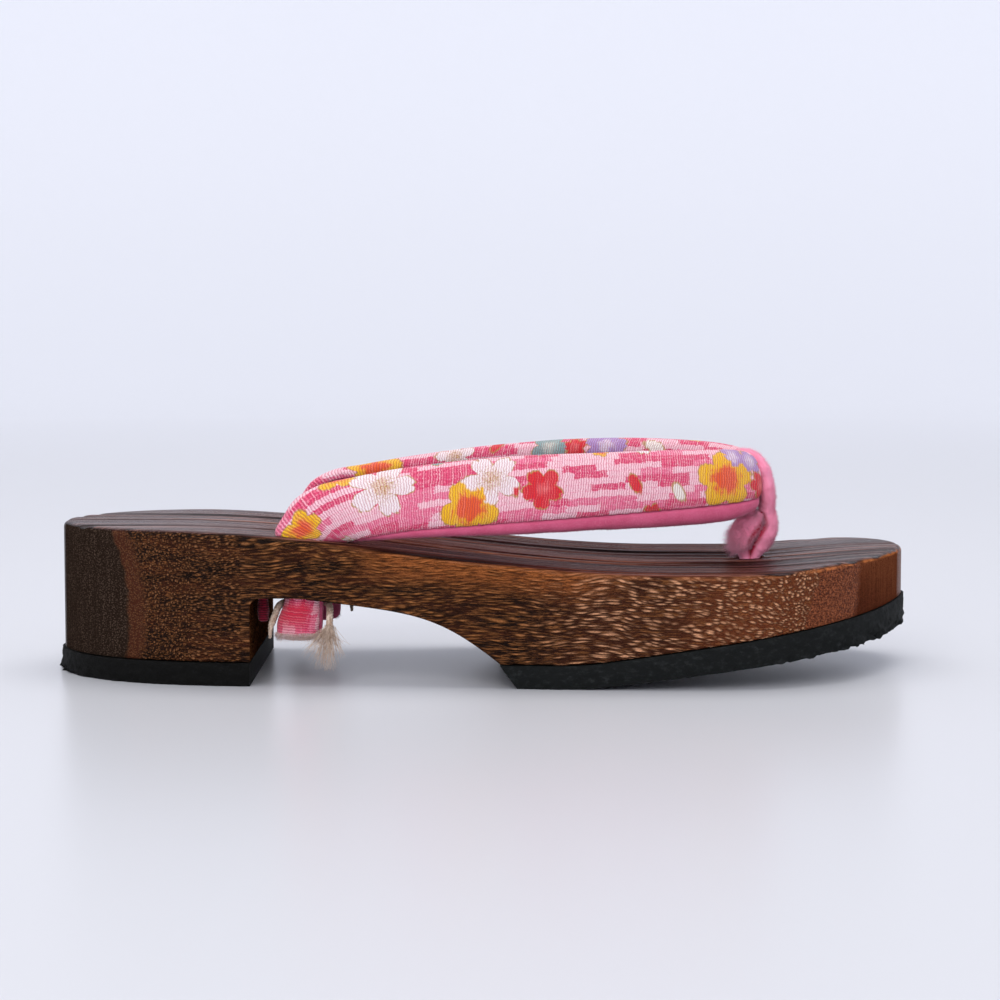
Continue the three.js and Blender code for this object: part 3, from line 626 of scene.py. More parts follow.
def makePad(name, node, start, end, underAt, topAt, rake, material, seed):
    # Sections across the shoe: a flat foot, ragged sides that stand a little proud and a flat top.
    # Crumbs push the sides along the plan curve's own normal, and most at the shoe's two tips.
    x, low, high = outlineSides(shoe["padOverhang"], tipSpacing(420))
    stations = np.unique([max(start, x[0]), *x[(x > start) & (x < end)], min(end, x[-1])])
    low, high = np.interp(stations, x, low), np.interp(stations, x, high)
    x = stations
    # once round a section: down one side, across the foot, up the other side and back over the top
    over, rise = np.linspace(0, 1, rubber["across"])[1:-1], np.linspace(0, 1, rubber["up"])
    across = np.concatenate([0 * rise, over, 0 * rise + 1, over[::-1]])
    up = np.concatenate([rise[::-1], 0 * over, rise, 0 * over + 1])
    bottom, top = underAt(x)[:, None], topAt(x)[:, None]
    grid = x[:, None] + 0 * across[None, :]
    y = low[:, None] + (high - low)[:, None] * across[None, :]
    z = bottom + (top - bottom) * up[None, :]
    sideways = np.where(across[None, :] < 0.001, -1.0, np.where(across[None, :] > 0.999, 1.0, 0.0))
    slope = np.where(sideways < 0, np.gradient(low, x)[:, None], np.gradient(high, x)[:, None])
    steep = np.clip(-sideways * slope, -12, 12)
    normalX, normalY = steep / np.hypot(steep, 1), sideways / np.hypot(steep, 1)
    edge = np.abs(2 * up[None, :] - 1) ** 3
    turn = np.arctan2(y, grid) * 60
    crumbs = wander(turn * 0.8, z * 1.3, seed) * 0.6 + wander(turn * 2.1, z * 2.4, seed + 1) * 0.4
    tips = np.maximum(smoothStep(grid, *rubber["toeWear"]), smoothStep(grid, *rubber["heelWear"]))
    foot = smoothStep(up[None, :], 0.55, 0.05) * tips
    push = rubber["crumb"] * crumbs - rubber["waist"] * edge + rubber["burr"] * foot * (crumbs + 0.15)
    push = push * np.where(sideways == 0, 0, 1)
    y, grid = y + normalY * push, grid + np.where(sideways == 0, 0, normalX * push)
    drips = np.clip(wander(turn * 1.4, 3.0, seed + 2), 0, 1) * foot * np.abs(sideways)
    z = z - rubber["drip"] * drips * (grid > rubber["toeWear"][0] - 2)
    grid = grid + rake * (1 - (z - bottom) / (top - bottom)) * smoothStep(grid, start + 14, start)
    points = np.stack([grid, y, z], -1)
    rows, columns = points.shape[:2]
    caps = [list(range(columns)), list(range((rows - 1) * columns, rows * columns))[::-1]]
    addPiece(name, points, gridFaces(rows, columns).tolist() + caps, material, "sole_rubber", [node],
             sharp=50, merge=0.004)


def makePads():
    toeSlope = shoe["springSlope"] - (shoe["padToeThickness"] - shoe["padThickness"]) / (
        shoe["length"] / 2 - shoe["springFrom"])
    glued = shoe["padThickness"] - shoe["glueGap"]
    makePad("heelRubber", "heel_pad", -shoe["length"], shoe["heelFront"], lambda x: 0 * x,
            lambda x: 0 * x + glued, 0, rubberMaterial("heelRubberLook", rubber["heel"]), 3)
    makePad("forefootRubber", "forefoot_pad", shoe["foreRear"], shoe["length"],
            lambda x: springHeight(x, 0, toeSlope), lambda x: springHeight(x, glued, shoe["springSlope"]),
            shoe["padRake"], rubberMaterial("forefootRubberLook", rubber["fore"]), 8)


makePads()


# Hairs

fuzz = dict(wide=0.07, short=0.45, long=1.0, stray=2.6, fray=1.7)


def addFuzz(name, grids, counts, longs, material, seed, slot="pink_velour", droop=(-0.1, 0, -0.15)):
    # Hairs as slim three-sided spikes. Each starts at a random place on a closed grid of rows, leans at
    # random from the grid's normal and is as long as the matching table says.
    random = np.random.default_rng(seed)
    roots, ways, lengths = [], [], []
    for grid, count, long in zip(grids, counts, longs):
        row = random.integers(1, grid.shape[0] - 2, count)
        column = random.integers(0, grid.shape[1], count)
        beside = (column + 1) % grid.shape[1]
        share, other = random.random((2, count, 1))
        first, second, third = grid[row, column], grid[row + 1, column], grid[row, beside]
        root = first + (second - first) * share + (third - first) * other
        normal = unit(np.cross(third - first, second - first))
        inward = (normal * (grid.mean(axis=1)[row] - root)).sum(1, keepdims=True) > 0
        roots.append(root)
        outward = np.where(inward, -normal, normal)
        ways.append(unit(outward + random.normal(0, 0.45, (count, 3)) + np.array(droop)))
        lengths.append(long(root) * random.uniform(0.4, 1.1, count))
    root, way, length = np.vstack(roots), np.vstack(ways), np.concatenate(lengths)
    side, other = squareTo(way)
    turn = np.arange(3) * 2 * pi / 3
    base = root[:, None] - 0.05 * way[:, None] + fuzz["wide"] / 2 * (
        side[:, None] * np.cos(turn)[:, None] + other[:, None] * np.sin(turn)[:, None])
    tip = root + way * length[:, None]
    points = np.concatenate([base, tip[:, None]], axis=1)
    start = np.arange(len(root))[:, None] * 4
    faces = [start + np.array(corners) for corners in ((0, 1, 3), (1, 2, 3), (2, 0, 3), (2, 1, 0))]
    addPiece(name, points, np.stack(faces, 1).reshape(-1, 3).tolist(), material, slot)


# Strap: its sections run from the little-toe end round the point to the big-toe end

strap = dict(
    width=20, thickness=9.6, clothWall=1.2, clearance=0.3, roundness=2.3, neck=10.4, stubWidth=12.9,
    lateralStub=12.2, medialStub=14.6, lateralLean=1.5, medialLean=0.0, medialRise=1.6, pointSetback=0.6,
    sections=720, ribPitch=0.7, endRound=2.4, gatherPitch=3.4,
    # lowAlong, lowUp, highAlong, highUp, spread, lean, thick, topSeam, lowSeam
    arm=[
        (0.036, -0.03, -0.05, 0.0, 1, 0, 0.96, -35, 172),
        (0.072, -0.05, -0.064, 0.07, 1.01, 0.01, 0.9, -35, 174),
        (0.09, -0.07, -0.047, 0.28, 1.02, 0.03, 0.93, -35, 175),
        (0.105, -0.07, -0.018, 0.53, 1.03, 0.06, 0.97, -36, 174),
        (0.125, -0.05, 0.034, 0.71, 1.04, 0.09, 1, -38, 172),
        (0.165, -0.02, 0.105, 0.81, 1.05, 0.12, 1, -42, 165),
        (0.238, 0.01, 0.218, 0.94, 1.03, 0.14, 1, -48, 154),
        (0.44, 0.03, 0.438, 1.08, 0.93, 0.15, 1, -54, 140),
        (0.658, 0.07, 0.658, 1.12, 0.74, 0.15, 1, -58, 134),
        (0.844, 0.095, 0.844, 1.13, 0.51, 0.14, 0.98, -60, 126),
        (0.952, 0.14, 0.948, 1.12, 0.34, 0.11, 0.95, -60, 123),
        (0.998, 0.22, 0.988, 1.07, 0.19, 0.05, 0.88, -60, 123)],
    point=dict(lowUp=0.33, highUp=0.89, backLean=1, thick=0.62, topSeam=-60, lowSeam=123),
)
mouthHeight = float(topHeight(shoe["rearHoleX"]))
pointX = shoe["toeHoleX"] - strap["pointSetback"]


def stubRows(holeY, stubLength, lean):
    # The hanging end and the neck in the hole: height, setback, width and thickness of each row
    full, neck, high = strap["thickness"], strap["neck"], shoe["archHeight"]
    table = np.array([
        (high - stubLength, lean, strap["stubWidth"], 0.7 * full),
        (high - 0.55 * stubLength, 0.75 * lean, 0.97 * strap["stubWidth"], 0.88 * full),
        (high - 0.15 * stubLength, 0.1 * lean, 0.84 * strap["stubWidth"], 0.9 * neck),
        (high + 1.5, 0, neck, 0.9 * neck),
        (mouthHeight - 3, 0, neck, 0.9 * neck)])
    up, back, wide, thick = table.T
    ones = np.ones(len(table))
    low = np.stack([shoe["rearHoleX"] - back + wide / 2, holeY * ones, up], -1)
    high = np.stack([shoe["rearHoleX"] - back - wide / 2, holeY * ones, up], -1)
    return low, high, np.stack([thick, -35 * ones, 160 * ones], -1)


def armRows(holeY, extraRise):
    # The arm's lower and upper edge between the hole and the point, from the table
    lowAlong, lowUp, highAlong, highUp, spread, lean, thick, topSeam, lowSeam = np.array(strap["arm"]).T
    reach, aside, wide = pointX - shoe["rearHoleX"], holeY - shoe["thongLineY"], strap["width"]
    y = shoe["thongLineY"] + spread * aside
    inward = -np.sign(aside) * lean * wide
    foot = mouthHeight + extraRise * 4 * np.maximum(0, np.sin(pi * highAlong)) * (highAlong - 0.4)
    low = np.stack([shoe["rearHoleX"] + lowAlong * reach, y - inward, foot + lowUp * wide], -1)
    high = np.stack([shoe["rearHoleX"] + highAlong * reach, y + inward, foot + highUp * wide], -1)
    return low, high, np.stack([thick * strap["thickness"], topSeam, lowSeam], -1)


def roundedEnd(toEnd, radius):
    # One at the very end and none from one radius in, along a quarter of a circle
    return 1 - np.sqrt(1 - (1 - np.clip(toEnd / radius, 0, 1)) ** 2)


def strapSections(count):
    # Evenly spaced sections: middle, width and thickness directions, half sizes and the seams' angles
    end = strap["point"]
    line, wide = shoe["thongLineY"], strap["width"]
    point = (np.array([[pointX + end["backLean"], line, mouthHeight + end["lowUp"] * wide]]),
             np.array([[pointX - end["backLean"], line, mouthHeight + end["highUp"] * wide]]),
             np.array([[end["thick"] * strap["thickness"], end["topSeam"], end["lowSeam"]]]))
    stub1 = stubRows(shoe["lateralHoleY"], strap["lateralStub"], strap["lateralLean"])
    stub2 = stubRows(shoe["medialHoleY"], strap["medialStub"], strap["medialLean"])
    arm1, arm2 = armRows(shoe["lateralHoleY"], 0), armRows(shoe["medialHoleY"], strap["medialRise"])
    rows = [np.vstack([stub1[k], arm1[k], point[k], arm2[k][::-1], stub2[k][::-1]]) for k in range(3)]
    dense = np.linspace(0, 1, 6000)
    low, high = splineAt(rows[0], dense), splineAt(rows[1], dense)
    run = np.linalg.norm(np.diff((low + high) / 2, axis=0), axis=1)
    run = 0.5 * run + 0.25 * np.linalg.norm(np.diff(low, axis=0), axis=1) + 0.25 * np.linalg.norm(
        np.diff(high, axis=0), axis=1)
    travel = np.concatenate([[0], np.cumsum(run)])
    along = np.linspace(0, travel[-1], count)
    t = np.interp(along, travel, dense)
    low, high, shape = (splineAt(rows[k], t) for k in range(3))
    middle = (low + high) / 2
    across = unit(high - low)
    outward = unit(np.cross(np.gradient(middle, axis=0), across))
    toEnd = np.minimum(along, along[-1] - along)
    halfWide = np.linalg.norm(high - low, axis=1) / 2 * (1 - 0.2 * roundedEnd(toEnd, 5))
    return dict(along=along, middle=middle, across=across, outward=outward, halfWide=halfWide,
                endInset=strap["endRound"] * roundedEnd(toEnd, strap["endRound"]),
                halfThick=shape[:, 0] / 2, topSeam=np.radians(shape[:, 1]), lowSeam=np.radians(shape[:, 2]))


def paddedSurface(sections, angle, inset):
    # Superellipse section: the cosine and sine of the angle to the power 2 over roundness, times the
    # half width and half thickness less the inset
    power = 2 / strap["roundness"]
    c, s = np.cos(angle), np.sin(angle)
    wide = (sections["halfWide"][:, None] - inset) * np.sign(c) * np.abs(c) ** power
    thick = (sections["halfThick"][:, None] - inset) * np.sign(s) * np.abs(s) ** power
    return (sections["middle"][:, None] + sections["across"][:, None] * wide[..., None]
            + sections["outward"][:, None] * thick[..., None])


cloth = dict(
    outer=60, inner=12, seamDip=0.55, pucker=0.22, wobble=0.16, barHigh=1.85, barLong=9.5,
    threadPitch=0.46, flatMiddle=40,
    # the last colour on the next line is a pale thread colour that also paints the highlight on the rib tops
    deep=tone(226, 54, 108), mid=tone(240, 112, 150), pale=tone(250, 196, 210), paleThreadAndHighlight=tone(255, 230, 234),
    tailRed=tone(206, 24, 56),
    # the first colour on the next line is painted shade for the hollows between the ribs
    gap=tone(176, 60, 92), rim=tone(224, 190, 176), gold=tone(186, 146, 70),
    # a traditional scatter of blossoms: kind, along, across, radius and turn in degrees
    blossoms=[
        ("yellow", 33.9, 1.1, 5.2, 20), ("white", 56.0, 1.1, 8.8, 10), ("white", 84.3, 3.9, 8.3, 28),
        ("yellow", 78.3, 11.2, 8.2, 98), ("red", 98.1, 7.9, 5.9, 95), ("petalRed", 90.6, 7.3, 2.2, 80),
        ("petalRed", 124.3, 8.2, 3.2, 62), ("petalWhite", 137.1, 11.2, 3.0, 58), ("red", 129.6, 16.4, 2.6, 0),
        ("yellow", 151.2, 8.0, 8.4, 52), ("purple", 154.3, 1.2, 4.4, 15), ("purple", 159.6, 2.2, 4.0, 50),
        ("red", 162.6, 8.9, 4.0, 30), ("yellow", 115.3, -3.2, 2.6, 0), ("white", 39.5, 13.2, 2.4, 10),
        ("red", 24.0, -6.5, 4.6, 15), ("yellow", 47.0, -7.6, 5.4, 60), ("teal", 70.0, -8.0, 5.2, 5),
        ("purple", 99.0, -7.6, 5.2, 40), ("white", 128.0, -7.0, 6.4, 20), ("white", 20.0, 6.5, 4.4, 50),
        ("yellow", 283.9, -9.0, 7.0, 25), ("white", 262.1, -7.9, 6.0, 12), ("teal", 234.3, -7.0, 5.6, 45),
        ("red", 226.6, -7.4, 3.6, 10), ("purple", 217.6, -7.0, 6.6, 30), ("petalWhite", 203.0, -6.6, 3.4, 20),
        ("petalRed", 250.0, -5.2, 3.0, 120), ("yellow", 190.0, 3.5, 7.2, 70), ("red", 206.5, 8.4, 5.6, 15),
        ("white", 222.0, 3.8, 8.4, 33), ("yellow", 231.5, 11.0, 6.4, 5), ("petalWhite", 243.0, 3.2, 3.0, 140),
        ("purple", 252.0, 8.2, 5.6, 60), ("white", 268.0, 5.4, 8.4, 48), ("red", 281.5, 3.2, 5.4, 80),
        ("teal", 290.0, 9.0, 4.8, 20), ("yellow", 302.0, 0.5, 5.8, 15), ("petalRed", 177.0, 2.0, 3.0, 30),
        ("purple", 178.5, 9.5, 4.6, 10), ("white", 315.0, -4.0, 4.4, 25), ("red", 326.0, 3.0, 4.4, 55),
        ("yellow", 336.0, -4.0, 4.2, 5)],
    # petal colour, heart colour, share of the radius where the heart ends, notch depth, petal waist
    kinds=dict(yellow=(tone(246, 190, 22), tone(236, 92, 40), 0.50, 0.0, 0.58),
               white=(tone(248, 234, 238), tone(226, 196, 176), 0.26, 0.13, 0.32),
               red=(tone(224, 34, 44), tone(238, 120, 120), 0.16, 0.05, 0.52),
               purple=(tone(176, 146, 204), tone(222, 206, 226), 0.34, 0.08, 0.55),
               teal=(tone(132, 168, 168), tone(206, 214, 204), 0.30, 0.10, 0.55),
               petalRed=(tone(224, 40, 50), tone(232, 70, 80), 0.2, 0.0, 0.0),
               petalWhite=(tone(246, 240, 232), tone(246, 240, 232), 0.2, 0.0, 0.0)),
)


def blossomFields(along, across):
    # Signed distance inside the nearest petal outline. A blossom's outline is its radius times a waist
    # plus the rest times the cosine of two and a half times the angle, with a notch at each tip. A loose
    # petal is an oval twice as long as wide.
    best = np.full(along.shape, -9.0)
    heart = np.full(along.shape, -9.0)
    speck = np.zeros(along.shape)
    petal, core = np.zeros(along.shape + (3,)), np.zeros(along.shape + (3,))
    for kind, u, v, radius, turn in cloth["blossoms"]:
        petalColour, heartColour, heartShare, notch, waist = cloth["kinds"][kind]
        c, s = np.cos(radians(turn)), np.sin(radians(turn))
        x, y = (along - u) * c + (across - v) * s, (across - v) * c - (along - u) * s
        if waist:
            far, angle = np.hypot(x, y), np.arctan2(y, x)
            lobe = np.abs(np.cos(2.5 * angle))
            tip = np.exp(-((1 - lobe) / 0.012))
            edge = radius * (waist + (1 - waist) * lobe ** 0.6 - notch * tip)
            ragged = 0.05 * radius * wander(x * 1.3, y * 1.3, int(10 * u))
            inside = (edge + ragged - far) * 0.85
            inner = heartShare * radius * (0.75 + 0.25 * lobe) + 3 * ragged - far
        else:
            inside = (1 - np.hypot(x / radius, y / (0.5 * radius))) * 0.5 * radius
            inner = np.full(along.shape, -9.0)
        nearer = inside > best
        best, heart = np.where(nearer, inside, best), np.where(nearer, inner, heart)
        middle = np.clip(1.15 - np.hypot(x, y) / (0.62 * radius), 0, 1)
        speck = np.where(nearer, float(kind == "white") * middle, speck)
        petal = np.where(nearer[..., None], petalColour[:3], petal)
        core = np.where(nearer[..., None], heartColour[:3], core)
    return np.clip(best, -3, 3), np.clip(heart, -3, 3), speck, petal, core


def clothMaterial():
    # Bars and printed blossoms in the flat map's millimetres, u along and v across, under fine ribs
    s = Shader("printedCloth", Roughness=0.85, Sheen_Weight=0.2, Sheen_Roughness=0.5, Specular_IOR_Level=0.22)
    plus, times, rest, band, mix = s.plus, s.times, s.rest, s.band, s.mix
    u, v = s.split(s.add("UVMap", {}, uv_map="flat").outputs[0])[:2]
    swing = s.noise(s.join(times(u, 0.12), times(v, 0.25)))
    crinkle = s.noise(s.join(times(u, 0.6), times(v, 1.5)), 2, 0.7)
    ribPlace = plus(u, plus(times(v, 0.10), times(swing, 1.2), times(crinkle, 0.75)))
    rib = s.math("SINE", times(ribPlace, 2 * pi / strap["ribPitch"]))
    jitter = s.minus(s.chance(s.math("FLOOR", s.math("DIVIDE", ribPlace, strap["ribPitch"]))), 0.5)
    # bars of the ground pattern: rows across, each cut into lengths that start at its own place
    rowPlace = plus(s.math("DIVIDE", v, cloth["barHigh"]), plus(times(swing, 0.5), times(jitter, 0.2)))
    row = s.math("FLOOR", rowPlace)
    ragged = plus(times(s.chance(row), 37), times(crinkle, 2.2))
    cell = s.math("FLOOR", s.math("DIVIDE", plus(u, ragged), cloth["barLong"]))
    pick = s.add("TexWhiteNoise", {"Vector": s.join(cell, row)}, noise_dimensions="2D").outputs[0]
    ground = mix(band(pick, 0.34, 0.35), cloth["deep"], cloth["mid"])
    ground = mix(band(pick, 0.57, 0.58), ground, cloth["pale"])
    between = band(s.size(s.minus(s.math("FRACT", rowPlace), 0.5)), 0.40, 0.5)
    ground = mix(times(between, 0.45), ground, cloth["mid"])
    for low, high, tint in ((0.42, 0.7, "paleThreadAndHighlight"), (0.5, 0.25, "deep")):
        ground = mix(band(crinkle, low, high, (0, 0.5)), ground, mix(0.5, ground, cloth[tint]))
    # a crimson middle on the strap's hanging end
    nearEnd = band(plus(u, plus(times(jitter, 1.2), times(swing, 5))), 15.5, 11.5)
    fromMiddle = plus(s.size(s.minus(v, cloth["flatMiddle"])), times(crinkle, 5))
    redShare = times(nearEnd, band(fromMiddle, 9.4, 6.2, (0.35, 0.95)), band(u, 1.5, 7.0, (0.35, 1.0)))
    ground = mix(redShare, ground, cloth["tailRed"])
    # the printed blossoms, their hearts, a broken gold outline and gold specks
    petal = plus(s.attribute("petal"), times(jitter, 0.35))
    heart = plus(s.attribute("heart"), times(jitter, 0.7))
    specks = times(s.attribute("speck"), band(s.grain((2.6, 2.6, 2.6)), 0.52, 0.6))
    petalColour, heartColour = (s.attribute(name, "Color") for name in ("petalColour", "heartColour"))
    flower = mix(band(heart, -1.6, 1.2), petalColour, heartColour)
    flower = mix(specks, flower, cloth["gold"])
    printed = band(petal, -0.12, 0.12)
    colour = mix(printed, ground, flower)
    line = times(rest(band(s.size(petal), 0.12, 0.34)), band(s.grain((0.9, 0.9, 0.9), 1), 0.38, 0.5))
    colour = mix(times(line, 0.8), colour, cloth["gold"])
    # ribs: a painted highlight on the top of each and painted shade in the gap between two
    thread = s.math("SINE", times(v, 2 * pi / cloth["threadPitch"]))
    # painted shade in the hollows between the ribs
    colour = mix(band(rib, 0.0, -1.0, (0, 0.6)), colour, mix(0.5, colour, cloth["gap"], blend="MULTIPLY"))
    colour = mix(band(rib, -0.4, -1.0, (0, 0.42)), colour, cloth["gap"])
    # painted highlight on the rib tops, weaker over the print and the crimson end
    pale = times(band(rib, 0.3, 1.0), band(plus(thread, times(jitter, 2.4)), -0.6, 0.8))
    plainShare = s.minus(0.6, times(s.most(printed, nearEnd), 0.42))
    colour = mix(times(pale, plainShare), colour, cloth["paleThreadAndHighlight"])
    colour = mix(s.attribute("rim"), colour, cloth["rim"])
    return s.finish(colour, plus(times(rib, 0.6), times(thread, 0.2)), 0.0002, 0.8)


def gathers(along, share):
    # From 0 to 1: a sine along the seam whose phase wanders
    return 0.5 + 0.5 * np.sin(2 * pi * along / strap["gatherPitch"] + 1.6 * wander(along / 9, share * 2, 5))


def makeCloth():
    # The outer sheet between its two seams and its inner side one wall further in. Near the seams it
    # dips and puckers, and slow noise makes the padding uneven.
    sections = strapSections(strap["sections"])
    along = sections["along"][:, None]
    low, high = sections["topSeam"][:, None], sections["lowSeam"][:, None]
    share = np.concatenate([np.linspace(0, 1, cloth["outer"]), np.linspace(1, 0, cloth["inner"])])[None, :]
    inside = np.concatenate([np.zeros(cloth["outer"]), np.ones(cloth["inner"])])[None, :]
    angle = low + (high - low) * share
    nearSeam = np.clip(np.minimum(share, 1 - share) / 0.09, 0, 1)
    fold = (1 - nearSeam) ** 2
    beside = np.clip(1 - np.minimum(share, 1 - share) / 0.2, 0, 1) ** 2
    inset = (fold * cloth["seamDip"] + cloth["pucker"] * gathers(along, share) * beside
             + cloth["wobble"] * (1 + wander(along / 11, share * 5, 9)) * 0.5)
    inset = np.where(inside > 0, strap["clothWall"], inset) + sections["endInset"][:, None]
    points = paddedSurface(sections, angle, inset)
    middle = cloth["outer"] // 2
    step = np.linalg.norm(np.diff(points, axis=1), axis=2)
    across = np.concatenate([np.zeros((len(points), 1)), np.cumsum(step, axis=1)], axis=1)
    across = across - across[:, middle:middle + 1]
    across[:, cloth["outer"]:] = 0
    flat = np.stack([along + 0 * across, across + cloth["flatMiddle"]], -1)
    petal, heart, speck, petalColour, heartColour = blossomFields(flat[..., 0], across)
    length = float(sections["along"][-1])
    ragged = 0.5 * wander(share * 24, 0.5, 41)
    rim = np.maximum(1 - smoothStep(along + ragged, 1.3, 2.4),
                     smoothStep(along + ragged, length - 2.4, length - 1.3))
    piece = addPiece("strapCloth", *capped([points]), clothMaterial(), "printed_cloth", ["strap_cover"],
                     values=dict(rim=rim, petal=petal, heart=heart, speck=speck),
                     colours=dict(petalColour=petalColour, heartColour=heartColour), flatMap=flat)
    return points


clothPoints = makeCloth()

velour = dict(strap=(tone(216, 98, 134), tone(188, 64, 98), tone(232, 146, 170)),
              # the crease colour on the next line is painted shade between the thong's strands
              thong=(tone(255, 158, 190), tone(244, 122, 160), tone(255, 204, 218)), creaseShade=tone(178, 14, 52),
              # the hair colours on the next line are a paler copy of the thong's: painted light
              fuzz=(tone(255, 178, 204), tone(252, 150, 182), tone(255, 212, 224)),
              sections=560, under=20, shown=44, seamGap=4.5)


def velourMaterial(name, colours, creaseShaded=False):
    plain, dark, light = colours
    s = Shader(name, Roughness=0.95, Sheen_Weight=0.55, Sheen_Roughness=0.4, Sheen_Tint=tone(255, 200, 216),
               Specular_IOR_Level=0.08)
    nap, patch = s.grain((2.6, 2.6, 2.6), 4, 0.65), s.grain((0.2, 0.2, 0.2))
    colour = s.mix(s.band(patch, 0.3, 0.7, (0, 0.35)), plain, dark)
    colour = s.mix(s.band(nap, 0.45, 0.8, (0, 0.4)), colour, light)
    if creaseShaded:
        # painted shade in the crease between the two strands
        colour = s.mix(s.band(s.attribute("creaseShade"), 0.15, 0.8), colour, velour["creaseShade"])
    return s.finish(colour, nap, 0.0003, 0.6)


def makeVelour():
    # The padded body: under the cloth it keeps the wall and clearance, and it shows between the seams
    sections = strapSections(velour["sections"])
    gap = radians(velour["seamGap"])
    low, high = sections["topSeam"][:, None] - gap, sections["lowSeam"][:, None] + gap
    under, shown = velour["under"], velour["shown"]
    shareUnder, shareShown = np.linspace(0, 1, under)[None, :], np.linspace(0, 1, shown)[None, :]
    angle = np.concatenate([low + (high - low) * shareUnder, high + (low + 2 * pi - high) * shareShown],
                           axis=1)
    along = sections["along"][:, None]
    seam = np.clip(1 - np.minimum(shareShown, 1 - shareShown) / 0.16, 0, 1) ** 2
    shownInset = (seam * (0.35 + 0.3 * gathers(along, shareShown))
                  + 0.22 * (1 + wander(along / 5, shareShown * 7, 21)) * 0.5)
    inset = np.concatenate([np.full_like(shareUnder, strap["clothWall"] + strap["clearance"]) + 0 * along,
                            shownInset], axis=1) + sections["endInset"][:, None]
    points = paddedSurface(sections, angle, inset)
    piece = addPiece("strapVelour", *capped([points]), velourMaterial("pinkVelour", velour["strap"]),
                     "pink_velour", ["strap_lining"])
    shownBand = points[30:-30, under + 2:-2]
    addFuzz("velourFuzz", [shownBand], [16000], [lambda root: fuzz["short"]],
            velourMaterial("bandFuzz", velour["strap"]), 6, droop=(0, 0, 0))


makeVelour()


# Toe thong: the band round the strap's point and two strands that meet in the toe hole

thong = dict(
    # place along the shoe, height, thickness and breadth of each section, from the hole upwards
    front=[(76.6, 24.5, 3.0, 6.2), (76.6, 30.6, 3.0, 6.3), (77.0, 32.4, 3.8, 7.4), (78.0, 34.4, 5.2, 9.0),
           (79.3, 36.8, 5.8, 10.2), (80.6, 39.3, 5.2, 10.4), (80.9, 41.6, 4.2, 9.8), (80.2, 44.2, 4.4, 9.2),
           (80.1, 47.6, 4.6, 10.8), (79.8, 51.6, 4.6, 12.0), (78.7, 56.0, 4.4, 12.0), (76.4, 59.0, 4.2, 11.0),
           (73.6, 60.0, 4.0, 9.4), (70.8, 58.6, 3.7, 7.2), (69.8, 55.8, 3.5, 6.7), (69.9, 50.8, 3.5, 6.7),
           (71.4, 46.2, 3.5, 7.6), (74.4, 44.0, 3.5, 8.4), (77.4, 42.9, 3.2, 8.2)],
    rear=[(74.0, 24.5, 3.0, 6.2), (74.0, 30.6, 3.0, 6.3), (73.7, 32.6, 3.8, 7.8), (73.3, 34.6, 5.4, 9.8),
          (73.6, 37.2, 7.2, 11.0), (74.9, 39.8, 7.8, 11.2), (77.0, 42.2, 5.4, 10.0), (78.2, 44.0, 3.2, 8.6)],
    knot=(6.4, 4.6), roundness=2.4, columns=44,
)


def bandLoft(rows, sections, columns, seed):
    # A soft band that bends in the upright plane: a superellipse of thickness and breadth is carried
    # along the spline through the rows, with slow noise on its thickness
    table = np.array(rows, float)
    t = np.linspace(0, 1, sections)
    path = splineAt(np.stack([table[:, 0], 0 * table[:, 0], table[:, 1]], -1), t)
    size = splineAt(np.stack([table[:, 2], table[:, 3], 0 * table[:, 0]], -1), t)
    along = unit(np.gradient(path, axis=0))
    thick = np.cross(along, [0.0, 1.0, 0.0])
    angle = (np.arange(columns) / columns * 2 * pi)[None, :]
    rounded = [np.sign(q) * np.abs(q) ** (2 / thong["roundness"]) for q in (np.cos(angle), np.sin(angle))]
    travel = np.cumsum(np.linalg.norm(np.gradient(path, axis=0), axis=1))[:, None]
    soft = (1 + 0.05 * wander(travel / 2.4, angle * 1.2, seed)
            + 0.03 * wander(travel / 0.9, angle * 3, seed + 1))
    side, deep = size[:, 1:2] / 2 * rounded[0] * soft, size[:, 0:1] / 2 * rounded[1] * soft
    points = path[:, None] + side[..., None] * np.array([0.0, 1.0, 0.0]) + deep[..., None] * thick[:, None]
    points[..., 1] += shoe["thongLineY"]
    return points


def makeThong(material):
    # Two strands and a lobed ball for the knot under the wood
    columns = thong["columns"]
    front, rear = bandLoft(thong["front"], 260, columns, 31), bandLoft(thong["rear"], 120, columns, 37)
    wide, high = thong["knot"]
    rise = np.linspace(0.02, pi - 0.02, 26)[:, None]
    turn = (np.arange(columns) / columns * 2 * pi)[None, :]
    twist = 1 + 0.07 * np.sin(3 * turn + 4 * rise) + 0.03 * wander(turn * 2, rise * 2, 5)
    top = springHeight(shoe["toeHoleX"], shoe["padThickness"], shoe["springSlope"]) + shoe["recessDepth"]
    knot = np.stack([shoe["toeHoleX"] + wide * np.sin(rise) * np.cos(turn) * twist,
                     shoe["thongLineY"] + wide * np.sin(rise) * np.sin(turn) * twist,
                     top - 0.4 - high - high * np.cos(rise) * (1 + 0 * turn)], -1)
    creaseShade = np.concatenate([creaseShadeOf(front, -1), creaseShadeOf(rear, 1), np.zeros(knot.shape[0] * knot.shape[1])])
    piece = addPiece("toeThong", *capped([front, rear, knot]), material, "pink_velour", ["toe_thong"],
                     values=dict(creaseShade=creaseShade))

    def stray(root):
        # The longest hairs stand on the rear strand's heel side, low down
        return fuzz["long"] + fuzz["stray"] * smoothStep(root[:, 0], 75, 71) * smoothStep(root[:, 2], 42, 36)

    # the thong's hairs get a paler copy of its velour: painted light standing in for light through the thin
    # hairs
    addFuzz("thongFuzz", [front[40:], rear[40:]], [13000, 9000],
            [lambda root: fuzz["long"], stray], velourMaterial("litFuzzVelour", velour["fuzz"]), 5)


